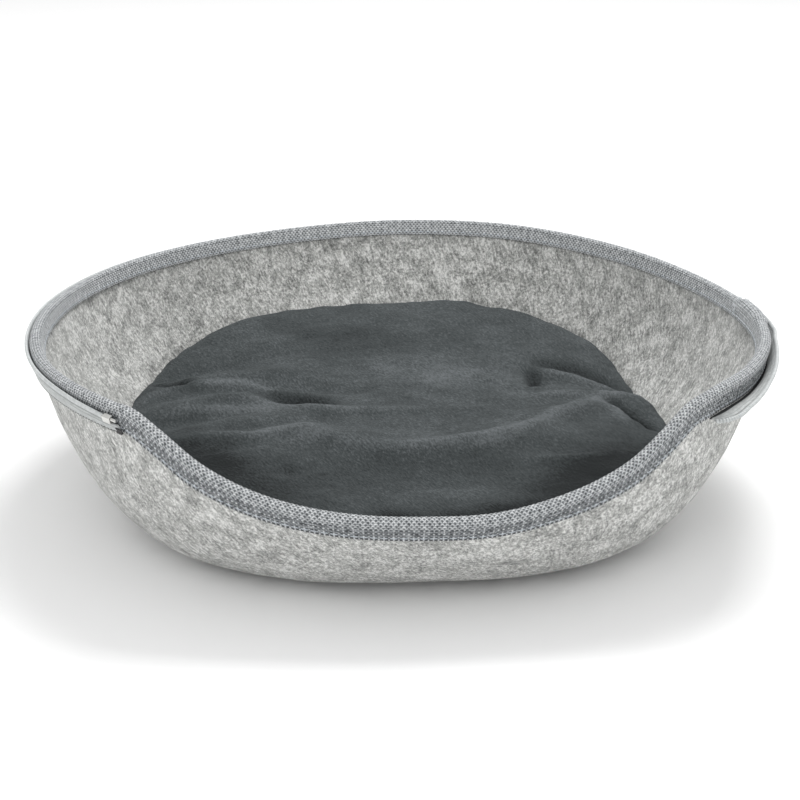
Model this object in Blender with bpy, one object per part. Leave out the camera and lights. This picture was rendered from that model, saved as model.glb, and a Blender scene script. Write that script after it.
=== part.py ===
"""Lower half of a zipped felt cat cave, standing open as a bed with its cushion.

Frame: metres, +Z up, -Y is the front with the low entrance, +X is the right.
The origin is on the floor under the middle of the whole part's box.

A bearing is an angle about the bowl's middle, in degrees, seen from above:
0 is the front, +90 the right, 180 the back and -90 the left.
The wall's height parameter t runs from 0 at the flat bottom's edge to 1 at
the full height, before the entrance is cut out of it.
"""
import math
from typing import NamedTuple

import bmesh
import bpy
import numpy as np

MM = 0.001


class At(NamedTuple):
    """A table's row: a value at a bearing in degrees."""

    bearing: float
    value: float


class Fold(NamedTuple):
    """A fold of the cushion's top, in mm; a negative height is a crease.

    The heading is the fold's run in degrees, 0 along +X and 90 along +Y.
    """

    x: float
    y: float
    heading: float
    half_length: float
    half_width: float
    height: float


# ---- felt bowl -------------------------------------------------------------
RIM_HALF_WIDTH = 223.4 * MM      # outer face of the felt at full height
RIM_HALF_DEPTH = 245.7 * MM
FULL_HEIGHT = 107.0 * MM
BASE_HALF_WIDTH = 125.6 * MM     # flat bottom, a rounded square
BASE_HALF_DEPTH = 138.2 * MM
BASE_SQUARENESS = 3.0            # 2 is an ellipse, more is squarer
CORNER_REACH = 68.0 * MM         # how far the soft bottom corner runs out
OVAL_TURN = 1.74                 # degrees that the oval is turned, seen from above
FELT = 4.0 * MM                  # thickness

# Height in mm of the felt's cut edge round the bowl: uneven at the back, two
# shoulders, and the low entrance between them.
EDGE = (
    At(-180.0, 106.0), At(-160.0, 104.0), At(-130.0, 104.4), At(-100.0, 105.9),
    At(-70.0, 108.0), At(-50.0, 111.6), At(-42.0, 112.2), At(-37.5, 111.8), At(-33.0, 103.8),
    At(-27.0, 88.5), At(-22.0, 79.4), At(-16.0, 72.0), At(-8.0, 66.5), At(4.0, 64.2),
    At(13.0, 64.4), At(22.0, 71.3), At(28.0, 78.4), At(33.0, 87.1), At(37.5, 99.3),
    At(42.0, 110.6), At(47.0, 113.4), At(60.0, 111.8), At(75.0, 109.8), At(90.0, 107.0),
    At(105.0, 104.2), At(120.0, 103.4), At(140.0, 105.2), At(160.0, 107.0), At(180.0, 106.0),
)

# ---- woven binding folded over the felt's edge -----------------------------
TAPE = 1.3 * MM                  # thickness of the folded webbing
SEAT = 0.3 * MM                  # gap between two pieces that touch
LEG_OUT = 11.8 * MM              # width of the binding on the outside
LEG_IN = 9.0 * MM                # and on the inside
ROLL_HEIGHT = 2.1 * MM           # how far the fold stands above the felt's edge
LAP_LIFT = 2.4 * MM              # step where one end laps over the other
# Share of that lift along the lap.
LAP = (At(87.0, 0.0), At(89.0, 0.75), At(93.0, 1.0), At(99.0, 1.0), At(100.5, 0.0))

# ---- half zip round the outside --------------------------------------------
ZIP_FROM = 46.5                  # bearing of its right end
ZIP_TO = 321.0                   # bearing of its left end, the same as -39
ROUNDED_SPAN = 6.0               # degrees over which its right end is rounded off
WEB = 0.9 * MM                   # thickness of the zip's tape
WEB_WIDTH = 9.7 * MM             # from the binding's lower edge to the coil
WEB_ROOT = 1.2 * MM              # its sewn edge, below the binding's lower edge
WEB_BEND = 0.5 * MM              # where it turns up again
COIL_WIDTH = 3.2 * MM
COIL_THICKNESS = 2.2 * MM
COIL_SIDES = 6
PIN_LENGTH = 11.0 * MM           # metal end piece, along the zip
PIN_WIDTH = 4.2 * MM
PIN_THICKNESS = 3.4 * MM
PIN_SIDES = 8
PIN_OUT = 0.4 * MM               # how far it stands out from the tape's middle
# How far the zip leans away from the wall round the bowl, in degrees.
LEAN = (
    At(46.5, 93.0), At(48.0, 88.0), At(50.0, 82.0), At(52.0, 72.0), At(54.0, 66.0),
    At(57.0, 57.0), At(60.0, 48.0), At(64.0, 39.0), At(68.0, 30.0), At(72.0, 21.0),
    At(76.0, 15.0), At(80.0, 12.0), At(85.0, 8.0), At(95.0, 7.0), At(130.0, 7.0),
    At(180.0, 6.0), At(240.0, 6.0), At(275.0, 6.0), At(300.0, 6.5), At(312.0, 8.5),
    At(321.0, 10.0),
)
# Share of the tape's width round the bowl: rounded off at its right end, and
# drawn down towards its left end.
WEB_SHARE = (
    At(46.5, 0.18), At(47.5, 0.5), At(49.0, 0.78), At(52.0, 0.95), At(56.0, 1.0), At(62.0, 1.0),
    At(180.0, 1.0), At(290.0, 0.99), At(302.0, 0.91), At(312.0, 0.74), At(317.0, 0.64),
    At(321.0, 0.52),
)
# Where the zip passes over the binding's lap, as a share of the lap's lift.
ZIP_OVER_LAP = (At(81.0, 0.0), At(86.0, 1.0), At(101.5, 1.0), At(107.0, 0.0))

# ---- cushion ---------------------------------------------------------------
CUSHION_FLOOR_GAP = 0.4 * MM     # over the felt's flat bottom
CUSHION_WALL_GAP = 0.9 * MM      # beside the felt's wall
CUSHION_MIDDLE = 50.0 * MM       # height of its top at the middle
CROWN_POWER = 2.4
ROLL_IN = 19.0 * MM              # how far its rolled edge comes in from the wall
ROLL_DROP = 14.0 * MM            # how far below its top the rolled edge starts
ROLL_LEAN = 0.35                 # how much the rolled edge leans in as it rises
ROLL_FULLNESS = 0.68             # how full the roll is, from 0 flat to 1 square
# Height in mm of the cushion's top where it meets its rolled edge.
CUSHION_EDGE = (
    At(-180.0, 59.0), At(-158.0, 56.3), At(-143.0, 54.0), At(-127.0, 45.5), At(-110.0, 40.5),
    At(-90.0, 39.5), At(-60.0, 40.5), At(0.0, 38.0), At(60.0, 40.0), At(85.0, 39.0),
    At(104.0, 36.0), At(113.0, 34.5), At(122.0, 35.5), At(133.0, 44.0), At(144.0, 51.5),
    At(155.0, 57.5), At(168.0, 60.3), At(180.0, 59.0),
)
FOLDS = {
    "front_crest_left": Fold(-25.0, -64.0, -20.0, 48.0, 17.0, 4.5),
    "front_crest_right": Fold(62.0, -62.0, 22.0, 60.0, 17.0, 4.5),
    "front_slope": Fold(15.0, -112.0, 0.0, 110.0, 26.0, -4.0),
    "left_ridge_back": Fold(-118.0, 56.0, 6.0, 52.0, 10.0, 5.0),
    "left_crease_back": Fold(-140.0, 82.0, 4.0, 44.0, 9.0, -5.0),
    "left_crease_middle": Fold(-70.0, 36.0, -14.0, 48.0, 9.0, -4.5),
    "left_ridge_middle": Fold(-116.0, 14.0, 6.0, 55.0, 10.0, 5.0),
    "left_crease_front": Fold(-130.0, -12.0, 8.0, 40.0, 9.0, -4.0),
    "left_ridge_front": Fold(-84.0, -28.0, 14.0, 50.0, 11.0, 5.0),
    "right_ridge_back": Fold(122.0, 42.0, 8.0, 38.0, 10.0, 4.5),
    "right_pinch": Fold(92.0, 62.0, -40.0, 22.0, 8.0, -4.0),
    "right_crease": Fold(153.0, 18.0, -62.0, 34.0, 10.0, -6.5),
    "right_ridge_front": Fold(102.0, -8.0, 38.0, 34.0, 10.0, 4.0),
    "back_swell": Fold(-20.0, 150.0, 4.0, 90.0, 34.0, 3.0),
}

# ---- how finely the pieces are cut -----------------------------------------
FRONT_STEP = 3.0                 # degrees between stations at the entrance
BACK_STEP = 5.0                  # and round the rest
FRONT_SPAN = 60.0                # the entrance's stations run this far each way
LAP_CLEAR = 1.2                  # other stations keep this far from the lap's own
WALL_SAMPLES = 80                # for lengths measured along the wall
CUSHION_STEP = 3.6
SHARP_ANGLE = math.radians(40.0)


def smooth_table(rows, bearing):
    """Value at a bearing, on a smooth curve through a table's rows."""
    keys = np.array([row.bearing for row in rows])
    values = np.array([row.value for row in rows])
    slopes = np.gradient(values, keys)
    place = np.clip(np.asarray(bearing, float), keys[0], keys[-1])
    row = np.clip(np.searchsorted(keys, place) - 1, 0, len(keys) - 2)
    span = keys[row + 1] - keys[row]
    s = (place - keys[row]) / span
    return ((2 * s**3 - 3 * s**2 + 1) * values[row]
            + (s**3 - 2 * s**2 + s) * span * slopes[row]
            + (3 * s**2 - 2 * s**3) * values[row + 1]
            + (s**3 - s**2) * span * slopes[row + 1])


def straight_table(rows, bearing):
    """Value at a bearing, on straight lines between a table's rows."""
    return float(np.interp(bearing, [row.bearing for row in rows], [row.value for row in rows]))


def wrapped(bearing):
    """The same bearing between -180 and 180 degrees."""
    return (np.asarray(bearing, float) + 180.0) % 360.0 - 180.0


def oval_radius(bearing, half_width, half_depth, squareness):
    """Distance from the middle to a superellipse, at a bearing."""
    angle = np.radians(np.asarray(bearing, float) - OVAL_TURN)
    across = np.abs(np.sin(angle)) / half_width
    along = np.abs(np.cos(angle)) / half_depth
    return (across**squareness + along**squareness) ** (-1.0 / squareness)


def outward(bearing):
    """Level direction away from the middle at a bearing."""
    angle = np.radians(bearing)
    return np.stack([np.sin(angle), -np.cos(angle), np.zeros_like(angle)], -1)


def wall_point(bearing, t):
    """Point of the felt's outer face."""
    bearing, t = np.broadcast_arrays(np.asarray(bearing, float), np.asarray(t, float))
    base = oval_radius(bearing, BASE_HALF_WIDTH, BASE_HALF_DEPTH, BASE_SQUARENESS)
    rim = oval_radius(bearing, RIM_HALF_WIDTH, RIM_HALF_DEPTH, 2.0)
    start = (1 - t) ** 2
    corner = 2 * (1 - t) * t
    end = t**2
    radius = start * base + corner * (base + CORNER_REACH) + end * rim
    point = outward(bearing) * radius[..., None]
    point[..., 2] = end * FULL_HEIGHT
    return point


def unit(vectors):
    """Vectors scaled to length one."""
    return vectors / np.linalg.norm(vectors, axis=-1, keepdims=True)


def wall_frame(bearing, t):
    """Point of the outer face, with the unit directions up the wall and outwards."""
    turn_step, t_step = 0.05, 0.0005
    t_low, t_high = np.maximum(t - t_step, 0.0), t + t_step
    along = wall_point(bearing + turn_step, t) - wall_point(bearing - turn_step, t)
    up = wall_point(bearing, t_high) - wall_point(bearing, t_low)
    return wall_point(bearing, t), unit(up), unit(np.cross(along, up))


def edge_height(bearing):
    """Height of the felt's cut edge."""
    return smooth_table(EDGE, wrapped(bearing)) * MM


def edge_stretch(bearing):
    """How much longer a width across the sloping edge is when measured up the wall."""
    step = 0.5
    rise = edge_height(bearing + step) - edge_height(bearing - step)
    run = np.radians(2 * step) * RIM_HALF_WIDTH
    return np.sqrt(1 + (rise / run) ** 2)


def t_below_edge(bearing, drop):
    """Wall parameter at a distance below the cut edge, measured down the wall."""
    t_grid = np.linspace(0.0, 1.1, WALL_SAMPLES)
    line = wall_point(np.full(WALL_SAMPLES, bearing), t_grid)
    steps = np.linalg.norm(np.diff(line, axis=0), axis=1)
    length = np.concatenate([[0.0], np.cumsum(steps)])
    at_edge = np.interp(edge_height(bearing), line[:, 2], length)
    return np.interp(at_edge - drop, length, t_grid)


def beside_wall(bearing, drop, offset):
    """Point at a distance below the cut edge and out from the felt's outer face.

    Above the edge, where drop is negative, it follows the wall's last direction.
    """
    t = t_below_edge(bearing, max(drop, 0.0))
    point, up, out = wall_frame(bearing, t)
    return point + up * max(-drop, 0.0) + out * offset


def stations():
    """Bearings of the bowl's and the binding's stations, once round."""
    front = np.arange(-FRONT_SPAN, FRONT_SPAN, FRONT_STEP)
    back = np.arange(FRONT_SPAN, 360.0 - FRONT_SPAN, BACK_STEP)
    lap = [row.bearing for row in LAP]
    clear = [bearing for bearing in back if min(abs(bearing - b) for b in lap) > LAP_CLEAR]
    return np.sort(np.concatenate([front, clear, lap]))


def new_material(name, color, roughness, metallic=0.0):
    """A Principled material of one colour."""
    material = bpy.data.materials.new(name)
    material.use_nodes = True
    shader = material.node_tree.nodes["Principled BSDF"]
    shader.inputs["Base Color"].default_value = (*color, 1.0)
    shader.inputs["Roughness"].default_value = roughness
    shader.inputs["Metallic"].default_value = metallic
    material.diffuse_color = (*color, 1.0)
    return material


def finish(name, bm, material, sharp=SHARP_ANGLE):
    """Make an object of a bmesh, triangulated, facing out and shaded smooth."""
    bmesh.ops.recalc_face_normals(bm, faces=bm.faces)
    bmesh.ops.triangulate(bm, faces=bm.faces)
    mesh = bpy.data.meshes.new(name)
    bm.to_mesh(mesh)
    bm.free()
    mesh.materials.append(material)
    mesh.shade_smooth()
    mesh.set_sharp_from_angle(angle=sharp)
    item = bpy.data.objects.new(name, mesh)
    bpy.context.collection.objects.link(item)
    return item


def bridged(rings, ring_closed, run_closed):
    """A bmesh skin over rings of points, with its open ends capped."""
    bm = bmesh.new()
    loops = [[bm.verts.new(point) for point in ring] for ring in rings]
    around = len(loops[0])
    for k in range(len(loops) if run_closed else len(loops) - 1):
        near, far = loops[k], loops[(k + 1) % len(loops)]
        for i in range(around if ring_closed else around - 1):
            j = (i + 1) % around
            bm.faces.new((near[i], near[j], far[j], far[i]))
    if not run_closed:
        bm.faces.new(loops[0])
        bm.faces.new(loops[-1])
    return bm


def fan(bm, ring, point):
    """Close a ring of vertices with triangles to one point."""
    tip = bm.verts.new(point)
    for k, vert in enumerate(ring):
        bm.faces.new((vert, ring[(k + 1) % len(ring)], tip))


def disc_ended(rings, first_tip, last_tip):
    """A bmesh skin over closed rings, ended by a fan at each end."""
    bm = bmesh.new()
    loops = [[bm.verts.new(point) for point in ring] for ring in rings]
    around = len(loops[0])
    for near, far in zip(loops, loops[1:]):
        for i in range(around):
            j = (i + 1) % around
            bm.faces.new((near[i], near[j], far[j], far[i]))
    fan(bm, loops[0], first_tip)
    fan(bm, loops[-1], last_tip)
    return bm


# ---- felt_shell ------------------------------------------------------------
CORNER_ROWS = (0.0, 0.09, 0.19, 0.29, 0.39, 0.49, 0.58)
UPPER_SHARES = (0.35, 0.7)


def wall_rows(bearing):
    """Wall parameters of the shell's rows at a bearing, from bottom to edge."""
    leg = LEG_OUT * edge_stretch(bearing)
    leg_row = float(t_below_edge(bearing, leg))
    last = CORNER_ROWS[-1]
    upper = [last + share * (leg_row - last) for share in UPPER_SHARES]
    return [*CORNER_ROWS, *upper, leg_row, float(t_below_edge(bearing, 0.0))]


def felt_shell(material):
    """The moulded bowl, one piece of thick felt with its entrance cut out."""
    outer, inner = [], []
    for bearing in stations():
        rows = np.array(wall_rows(bearing))
        point, _, out = wall_frame(bearing, rows)
        outer.append(point)
        inner.append(point - out * FELT)
    outer, inner = np.array(outer), np.array(inner)
    rings = [outer[:, k] for k in range(outer.shape[1])]
    rings += [inner[:, k] for k in reversed(range(inner.shape[1]))]
    return finish("felt_shell", disc_ended(rings, (0, 0, 0), (0, 0, FELT)), material)


# ---- rim_binding -----------------------------------------------------------
def binding_section(bearing):
    """The folded webbing's section as rows of (drop, offset), once round."""
    stretch = edge_stretch(bearing)
    lift = LAP_LIFT * straight_table(LAP, bearing)
    face = SEAT + TAPE
    middle = -0.5 * FELT
    half = 0.5 * FELT + face
    arch = [(-(ROLL_HEIGHT + lift) * math.sin(a) + 0.5 * MM * (1 - math.sin(a)),
             middle + (half + lift) * math.cos(a))
            for a in (math.radians(d) for d in (0, 45, 90, 135, 180))]
    return [
        (LEG_OUT * stretch, SEAT),
        (LEG_OUT * stretch, face + lift),
        *arch,
        (LEG_IN * stretch, -FELT - face - lift),
        (LEG_IN * stretch, -FELT - SEAT),
        (-SEAT, -FELT - SEAT),
        (-SEAT, SEAT),
    ]


def rim_binding(material):
    """The webbing folded over the whole edge, its two ends lapped at the right."""
    rings = []
    for bearing in stations():
        section = binding_section(bearing)
        rings.append([beside_wall(bearing, drop, offset) for drop, offset in section])
    return finish("rim_binding", bridged(rings, True, True), material)


# ---- zip -------------------------------------------------------------------
def zip_bearings(first, last):
    """Stations along a stretch of the zip, closer together at its rounded end."""
    rounded = [row.bearing for row in WEB_SHARE if first < row.bearing < first + ROUNDED_SPAN]
    start = max([first, *rounded])
    count = max(2, int(round((last - start) / FRONT_STEP)) + 1)
    return np.unique([first, *rounded, *np.linspace(start, last, count)])


def zip_line(bearing):
    """Root, bend and free edge of the zip's tape, with its lean and its facing."""
    stretch = float(edge_stretch(bearing))
    lean = math.radians(float(smooth_table(LEAN, bearing)))
    leg = LEG_OUT * stretch
    lift = LAP_LIFT * straight_table(ZIP_OVER_LAP, bearing)
    root = (leg + WEB_ROOT, SEAT + 0.5 * WEB)
    bend = (leg + WEB_BEND, SEAT + TAPE + SEAT + 0.5 * WEB + lift)
    run = (-math.cos(lean), math.sin(lean))
    face = (math.sin(lean), math.cos(lean))
    reach = WEB_WIDTH * float(smooth_table(WEB_SHARE, bearing))
    free = (bend[0] + reach * run[0], bend[1] + reach * run[1])
    return root, bend, free, run, face


def moved(place, *steps):
    """A (drop, offset) place moved along directions, given as (direction, distance)."""
    drop, offset = place
    for (a, b), distance in steps:
        drop, offset = drop + a * distance, offset + b * distance
    return drop, offset


def zip_tape(material):
    """The zip's tape: sewn at the binding's lower edge and standing beside it."""
    half = 0.5 * WEB
    rings = []
    for bearing in zip_bearings(ZIP_FROM, ZIP_TO):
        root, bend, free, _, face = zip_line(bearing)
        section = [
            moved(root, ((0.0, 1.0), -half)),
            moved(root, ((1.0, 0.0), half), ((0.0, 1.0), half)),
            moved(bend, (face, half)),
            moved(free, (face, half)),
            moved(free, (face, -half)),
            moved(bend, (face, -half)),
        ]
        rings.append([beside_wall(bearing, drop, offset) for drop, offset in section])
    return finish("zip_tape", bridged(rings, True, False), material)


def zip_bead(name, first, last, width, thickness, outset, sides, material):
    """A bead along the tape's free edge: the coil, or the metal end piece."""
    rings = []
    for bearing in zip_bearings(first, last):
        _, _, free, run, face = zip_line(bearing)
        middle = moved(free, (run, SEAT + 0.5 * width), (face, outset))
        section = []
        for k in range(sides):
            angle = 2 * math.pi * (k + 0.5) / sides
            reach = 1.0 / math.cos(math.pi / sides)
            section.append(moved(middle,
                                 (run, 0.5 * width * reach * math.cos(angle)),
                                 (face, 0.5 * thickness * reach * math.sin(angle))))
        rings.append([beside_wall(bearing, drop, offset) for drop, offset in section])
    return finish(name, bridged(rings, True, False), material)


def zip_split():
    """Bearings where the coil ends and where the metal end piece starts."""
    radius = oval_radius(ZIP_TO, RIM_HALF_WIDTH, RIM_HALF_DEPTH, 2.0)
    pin_start = ZIP_TO - math.degrees(PIN_LENGTH / radius)
    return pin_start - math.degrees(2 * SEAT / radius), pin_start


# ---- cushion ---------------------------------------------------------------
BOTTOM_SHARES = (0.0, 0.25, 0.5, 0.75, 1.0)
ROLL_SHARES = (0.17, 0.34, 0.5, 0.67, 0.84, 1.0)
TOP_SHARES = np.linspace(0.95, 0.07, 17)


def fold_height(x, y):
    """Rise of the cushion's top from all its folds."""
    rise = 0.0
    for fold in FOLDS.values():
        angle = math.radians(fold.heading)
        dx, dy = x - fold.x * MM, y - fold.y * MM
        along = (dx * math.cos(angle) + dy * math.sin(angle)) / (fold.half_length * MM)
        across = (dy * math.cos(angle) - dx * math.sin(angle)) / (fold.half_width * MM)
        rise += fold.height * MM * math.exp(-(along**4) - across**2)
    return rise


def cushion_top(bearing, share, reach):
    """Point of the cushion's top at a share of the way out to its rolled edge."""
    x, y = (outward(bearing) * reach * share)[:2]
    edge = float(smooth_table(CUSHION_EDGE, wrapped(bearing))) * MM
    crown = CUSHION_MIDDLE + (edge - CUSHION_MIDDLE) * share**CROWN_POWER
    return np.array([x, y, crown + fold_height(x, y)])


def cushion_side(bearing):
    """Underside points at a bearing, then the direction up the wall at the last."""
    edge = float(smooth_table(CUSHION_EDGE, wrapped(bearing))) * MM
    t_grid = np.linspace(0.0, 0.9, WALL_SAMPLES)
    point, _, out = wall_frame(bearing, t_grid)
    height = (point - out * (FELT + CUSHION_WALL_GAP))[:, 2]
    t_side = float(np.interp(edge - ROLL_DROP, height, t_grid))
    t = t_side * np.array(BOTTOM_SHARES)
    gap = CUSHION_FLOOR_GAP + (CUSHION_WALL_GAP - CUSHION_FLOOR_GAP) * np.array(BOTTOM_SHARES)
    point, up, out = wall_frame(bearing, t)
    return point - out * (FELT + gap)[:, None], up[-1]


def cushion_column(bearing):
    """One meridian of the cushion, from the flat bottom's edge to near its top's middle."""
    under, up = cushion_side(bearing)
    start, level = under[-1], outward(bearing)
    reach = float(start @ level) + ROLL_LEAN * ROLL_DROP - ROLL_IN
    top = cushion_top(bearing, 1.0, reach)
    lean_in = unit(up - ROLL_LEAN * level)
    handle_low = start + lean_in * ROLL_FULLNESS * ROLL_DROP
    handle_top = top + level * ROLL_FULLNESS * ROLL_IN
    column = list(under)
    for s in ROLL_SHARES:
        column.append((1 - s) ** 3 * start + 3 * (1 - s) ** 2 * s * handle_low
                      + 3 * (1 - s) * s**2 * handle_top + s**3 * top)
    column += [cushion_top(bearing, share, reach) for share in TOP_SHARES]
    return column


def cushion(material):
    """The filled plush cushion: flat below, rolled edge, crowned and folded top."""
    columns = [cushion_column(bearing) for bearing in np.arange(-180.0, 180.0, CUSHION_STEP)]
    rings = [list(ring) for ring in zip(*columns)]
    first_tip = (0.0, 0.0, FELT + CUSHION_FLOOR_GAP)
    last_tip = (0.0, 0.0, CUSHION_MIDDLE + fold_height(0.0, 0.0))
    return finish("cushion", disc_ended(rings, first_tip, last_tip), material, math.pi)


def centre_on_floor(items):
    """Shift every mesh so that the whole part's box is centred over the origin."""
    corners = np.array([vert.co for item in items for vert in item.data.vertices])
    low, high = corners.min(0), corners.max(0)
    for item in items:
        for vert in item.data.vertices:
            vert.co.x -= 0.5 * (low[0] + high[0])
            vert.co.y -= 0.5 * (low[1] + high[1])


def main():
    """Build the bowl, its binding, its half zip and its cushion."""
    for item in list(bpy.data.objects):
        bpy.data.objects.remove(item, do_unlink=True)
    felt = new_material("felt", (0.50, 0.51, 0.49), 0.95)
    webbing = new_material("binding", (0.30, 0.33, 0.36), 0.85)
    zip_cloth = new_material("zip_cloth", (0.66, 0.68, 0.66), 0.7)
    nylon = new_material("zip_nylon", (0.70, 0.72, 0.71), 0.4)
    metal = new_material("zip_metal", (0.75, 0.75, 0.75), 0.25, 1.0)
    plush = new_material("plush", (0.075, 0.09, 0.10), 0.95)
    coil_end, pin_start = zip_split()
    centre_on_floor([
        felt_shell(felt),
        rim_binding(webbing),
        zip_tape(zip_cloth),
        zip_bead("zip_coil", ZIP_FROM, coil_end, COIL_WIDTH, COIL_THICKNESS, 0.0,
                 COIL_SIDES, nylon),
        zip_bead("zip_pin", pin_start, ZIP_TO, PIN_WIDTH, PIN_THICKNESS, PIN_OUT,
                 PIN_SIDES, metal),
        cushion(plush),
    ])


main()
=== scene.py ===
"""Looks of the lower half of a zip-apart felt cat cave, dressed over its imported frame.

The frame holds the plain solids: the moulded felt bowl, the webbing round its
edge, half a zip and a plush cushion. Each is replaced here by a finer piece of
the same form, with the weave, coil, stitches, pile and folds that the solids
leave out. Metres, +Z up, -Y is the front with the low entrance.

A bearing is an angle about the bowl's middle, in degrees, seen from above:
0 is the front, +90 the right, 180 the back and -90 the left. A drop is a
distance down the wall from the felt's cut edge, and an offset is a distance
out from its outer face.
"""
import logging
import math
from contextlib import contextmanager
from dataclasses import dataclass, field
from enum import Enum
from typing import Iterator, NamedTuple, Sequence

import bmesh
import bpy
import numpy as np
from mathutils import Matrix, Vector


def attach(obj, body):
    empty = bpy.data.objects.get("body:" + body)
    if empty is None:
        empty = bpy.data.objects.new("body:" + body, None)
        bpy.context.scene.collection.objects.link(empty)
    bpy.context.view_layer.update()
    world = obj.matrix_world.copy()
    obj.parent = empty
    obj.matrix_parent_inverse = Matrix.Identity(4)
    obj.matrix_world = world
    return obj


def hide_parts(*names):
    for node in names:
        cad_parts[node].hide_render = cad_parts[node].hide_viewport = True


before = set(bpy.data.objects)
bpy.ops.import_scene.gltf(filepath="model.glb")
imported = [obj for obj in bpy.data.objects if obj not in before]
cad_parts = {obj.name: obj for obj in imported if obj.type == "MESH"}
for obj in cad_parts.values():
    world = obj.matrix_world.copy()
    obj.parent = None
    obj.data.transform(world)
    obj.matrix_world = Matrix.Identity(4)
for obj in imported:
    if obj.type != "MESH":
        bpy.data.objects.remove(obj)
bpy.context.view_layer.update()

MM = 0.001
LOG = logging.getLogger("felt_bed")
ALONG_X = (0.0, math.pi / 2, 0.0)      # turns a primitive's own axis from Z to X
Array = np.ndarray
Socket = bpy.types.NodeSocket
Triple = tuple[float, float, float]      # a colour, a place, or a scale along three axes


class At(NamedTuple):
    """A table's row: a value at a bearing in degrees."""

    bearing: float
    value: float


class Fold(NamedTuple):
    """A soft ridge (height over 0) or trough of the cushion's top, sizes in mm."""

    path: tuple[tuple[float, float], ...]
    width: float
    height: float


class NapAndPaintedLightPatch(NamedTuple):
    """A patch of painted light (strength over 0) or shade, with the brushing: middle, radii, turn,
    strength.
    """

    x: float
    y: float
    long: float
    short: float
    turn: float
    strength: float


class Waves(NamedTuple):
    """An uneven swell: its height and wavelength in metres, its seed, how many waves it sums."""

    height: float
    wavelength: float
    seed: int
    count: int


class CordLine(NamedTuple):
    """A raised line of the zip's tape, in mm from its free edge, with its share of the height."""

    place: float
    width: float
    share: float


class Lamp(NamedTuple):
    """A soft square area light: place and size in metres, power in watts."""

    name: str
    place: Triple
    size: float
    power: float


class Slot(Enum):
    """Names for the materials' slots; nothing here uses them."""

    FELT = "felt"
    BINDING = "binding"
    ZIP_CLOTH = "zip_cloth"
    ZIP_NYLON = "zip_nylon"
    ZIP_METAL = "zip_metal"
    PLUSH = "plush"


class Hold(Enum):
    """How a cloth piece is held."""

    STRETCHED = "stretched"
    FOLDED = "folded"


class End(Enum):
    """How a swept skin ends: joined to its start, capped by one face, or by a fan of them."""

    JOINED = "joined"
    CAP = "cap"
    FAN = "fan"


# ---- shared mathematics -----------------------------------------------------
def smooth_table(rows: Sequence[At], bearing: Array | float) -> Array:
    """Value at a bearing, on a smooth curve through a table's rows.

    Args:
        rows: the table.
        bearing: one bearing or an array of them, in degrees.

    Returns:
        The values there.
    """
    keys = np.array([row.bearing for row in rows])
    values = np.array([row.value for row in rows])
    slopes = np.gradient(values, keys)
    place = np.clip(np.asarray(bearing, float), keys[0], keys[-1])
    row = np.clip(np.searchsorted(keys, place) - 1, 0, len(keys) - 2)
    span = keys[row + 1] - keys[row]
    s = (place - keys[row]) / span
    return ((2 * s**3 - 3 * s**2 + 1) * values[row]
            + (s**3 - 2 * s**2 + s) * span * slopes[row]
            + (3 * s**2 - 2 * s**3) * values[row + 1]
            + (s**3 - s**2) * span * slopes[row + 1])


def straight_table(rows: Sequence[At], bearing: Array | float) -> Array:
    """Value at a bearing, on straight lines between a table's rows."""
    return np.interp(bearing, [row.bearing for row in rows], [row.value for row in rows])


def outward(bearing: Array) -> Array:
    """Level direction away from the middle at each bearing."""
    angle = np.radians(bearing)
    return np.stack([np.sin(angle), -np.cos(angle), np.zeros_like(angle)], -1)


def unit(vectors: Array) -> Array:
    """Vectors scaled to length one."""
    return vectors / np.maximum(np.linalg.norm(vectors, axis=-1, keepdims=True), 1e-12)


def soft_waves(points: Array, waves: Waves) -> Array:
    """A smooth uneven field, as a sum of sine waves.

    Args:
        points: places, in metres.
        waves: its height, mean wavelength, seed and number of waves.

    Returns:
        The field at each point, of about minus to plus its height.
    """
    rng = np.random.default_rng(waves.seed)
    total = np.zeros(points.shape[:-1])
    for _ in range(waves.count):
        direction = unit(rng.normal(size=3))
        turns = 2 * math.pi / (waves.wavelength * rng.uniform(0.6, 1.6))
        total += np.sin(points @ direction * turns + rng.uniform(0, 2 * math.pi))
    return waves.height * (total / math.sqrt(0.5 * waves.count) / 2.0)


def smooth_step(value: Array, low: float, high: float) -> Array:
    """0 below low, 1 above high, and smooth between."""
    s = np.clip((value - low) / (high - low), 0.0, 1.0)
    return s * s * (3 - 2 * s)


def lengths_along(rows: Array) -> Array:
    """Distance along each row of points, from 0 at its first point."""
    steps = np.linalg.norm(np.diff(rows, axis=1), axis=2)
    return np.concatenate([np.zeros((len(rows), 1)), np.cumsum(steps, 1)], 1)


def rounded(path: Sequence[tuple[float, float]], rounds: int = 3) -> Array:
    """A path with its corners rounded off.

    Args:
        path: its points.
        rounds: how often each corner is cut off.

    Returns:
        The finer path's points.
    """
    line = np.array(path, float)
    for _ in range(rounds):
        first, second = line[:-1], line[1:]
        cut = np.stack([0.75 * first + 0.25 * second, 0.25 * first + 0.75 * second], 1)
        line = np.concatenate([line[:1], cut.reshape(-1, 2), line[-1:]])
    return line


def beside(points: Array, path: Array) -> tuple[Array, Array]:
    """Where points lie beside a path.

    Args:
        points: one row a point.
        path: the path's own points.

    Returns:
        Each point's distance from the path, and the share of the path that is nearest.
    """
    starts, ends = path[:-1], path[1:]
    lengths = np.linalg.norm(ends - starts, axis=1)
    before = np.concatenate([[0.0], np.cumsum(lengths)])
    best = np.full(len(points), np.inf)
    share = np.zeros(len(points))
    for k in range(len(starts)):
        run = (ends[k] - starts[k]) / lengths[k]
        along = np.clip((points - starts[k]) @ run, 0.0, lengths[k])
        near = np.linalg.norm(points - starts[k] - along[:, None] * run, axis=1)
        closer = near < best
        best[closer] = near[closer]
        share[closer] = (before[k] + along[closer]) / before[-1]
    return best, share


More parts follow.
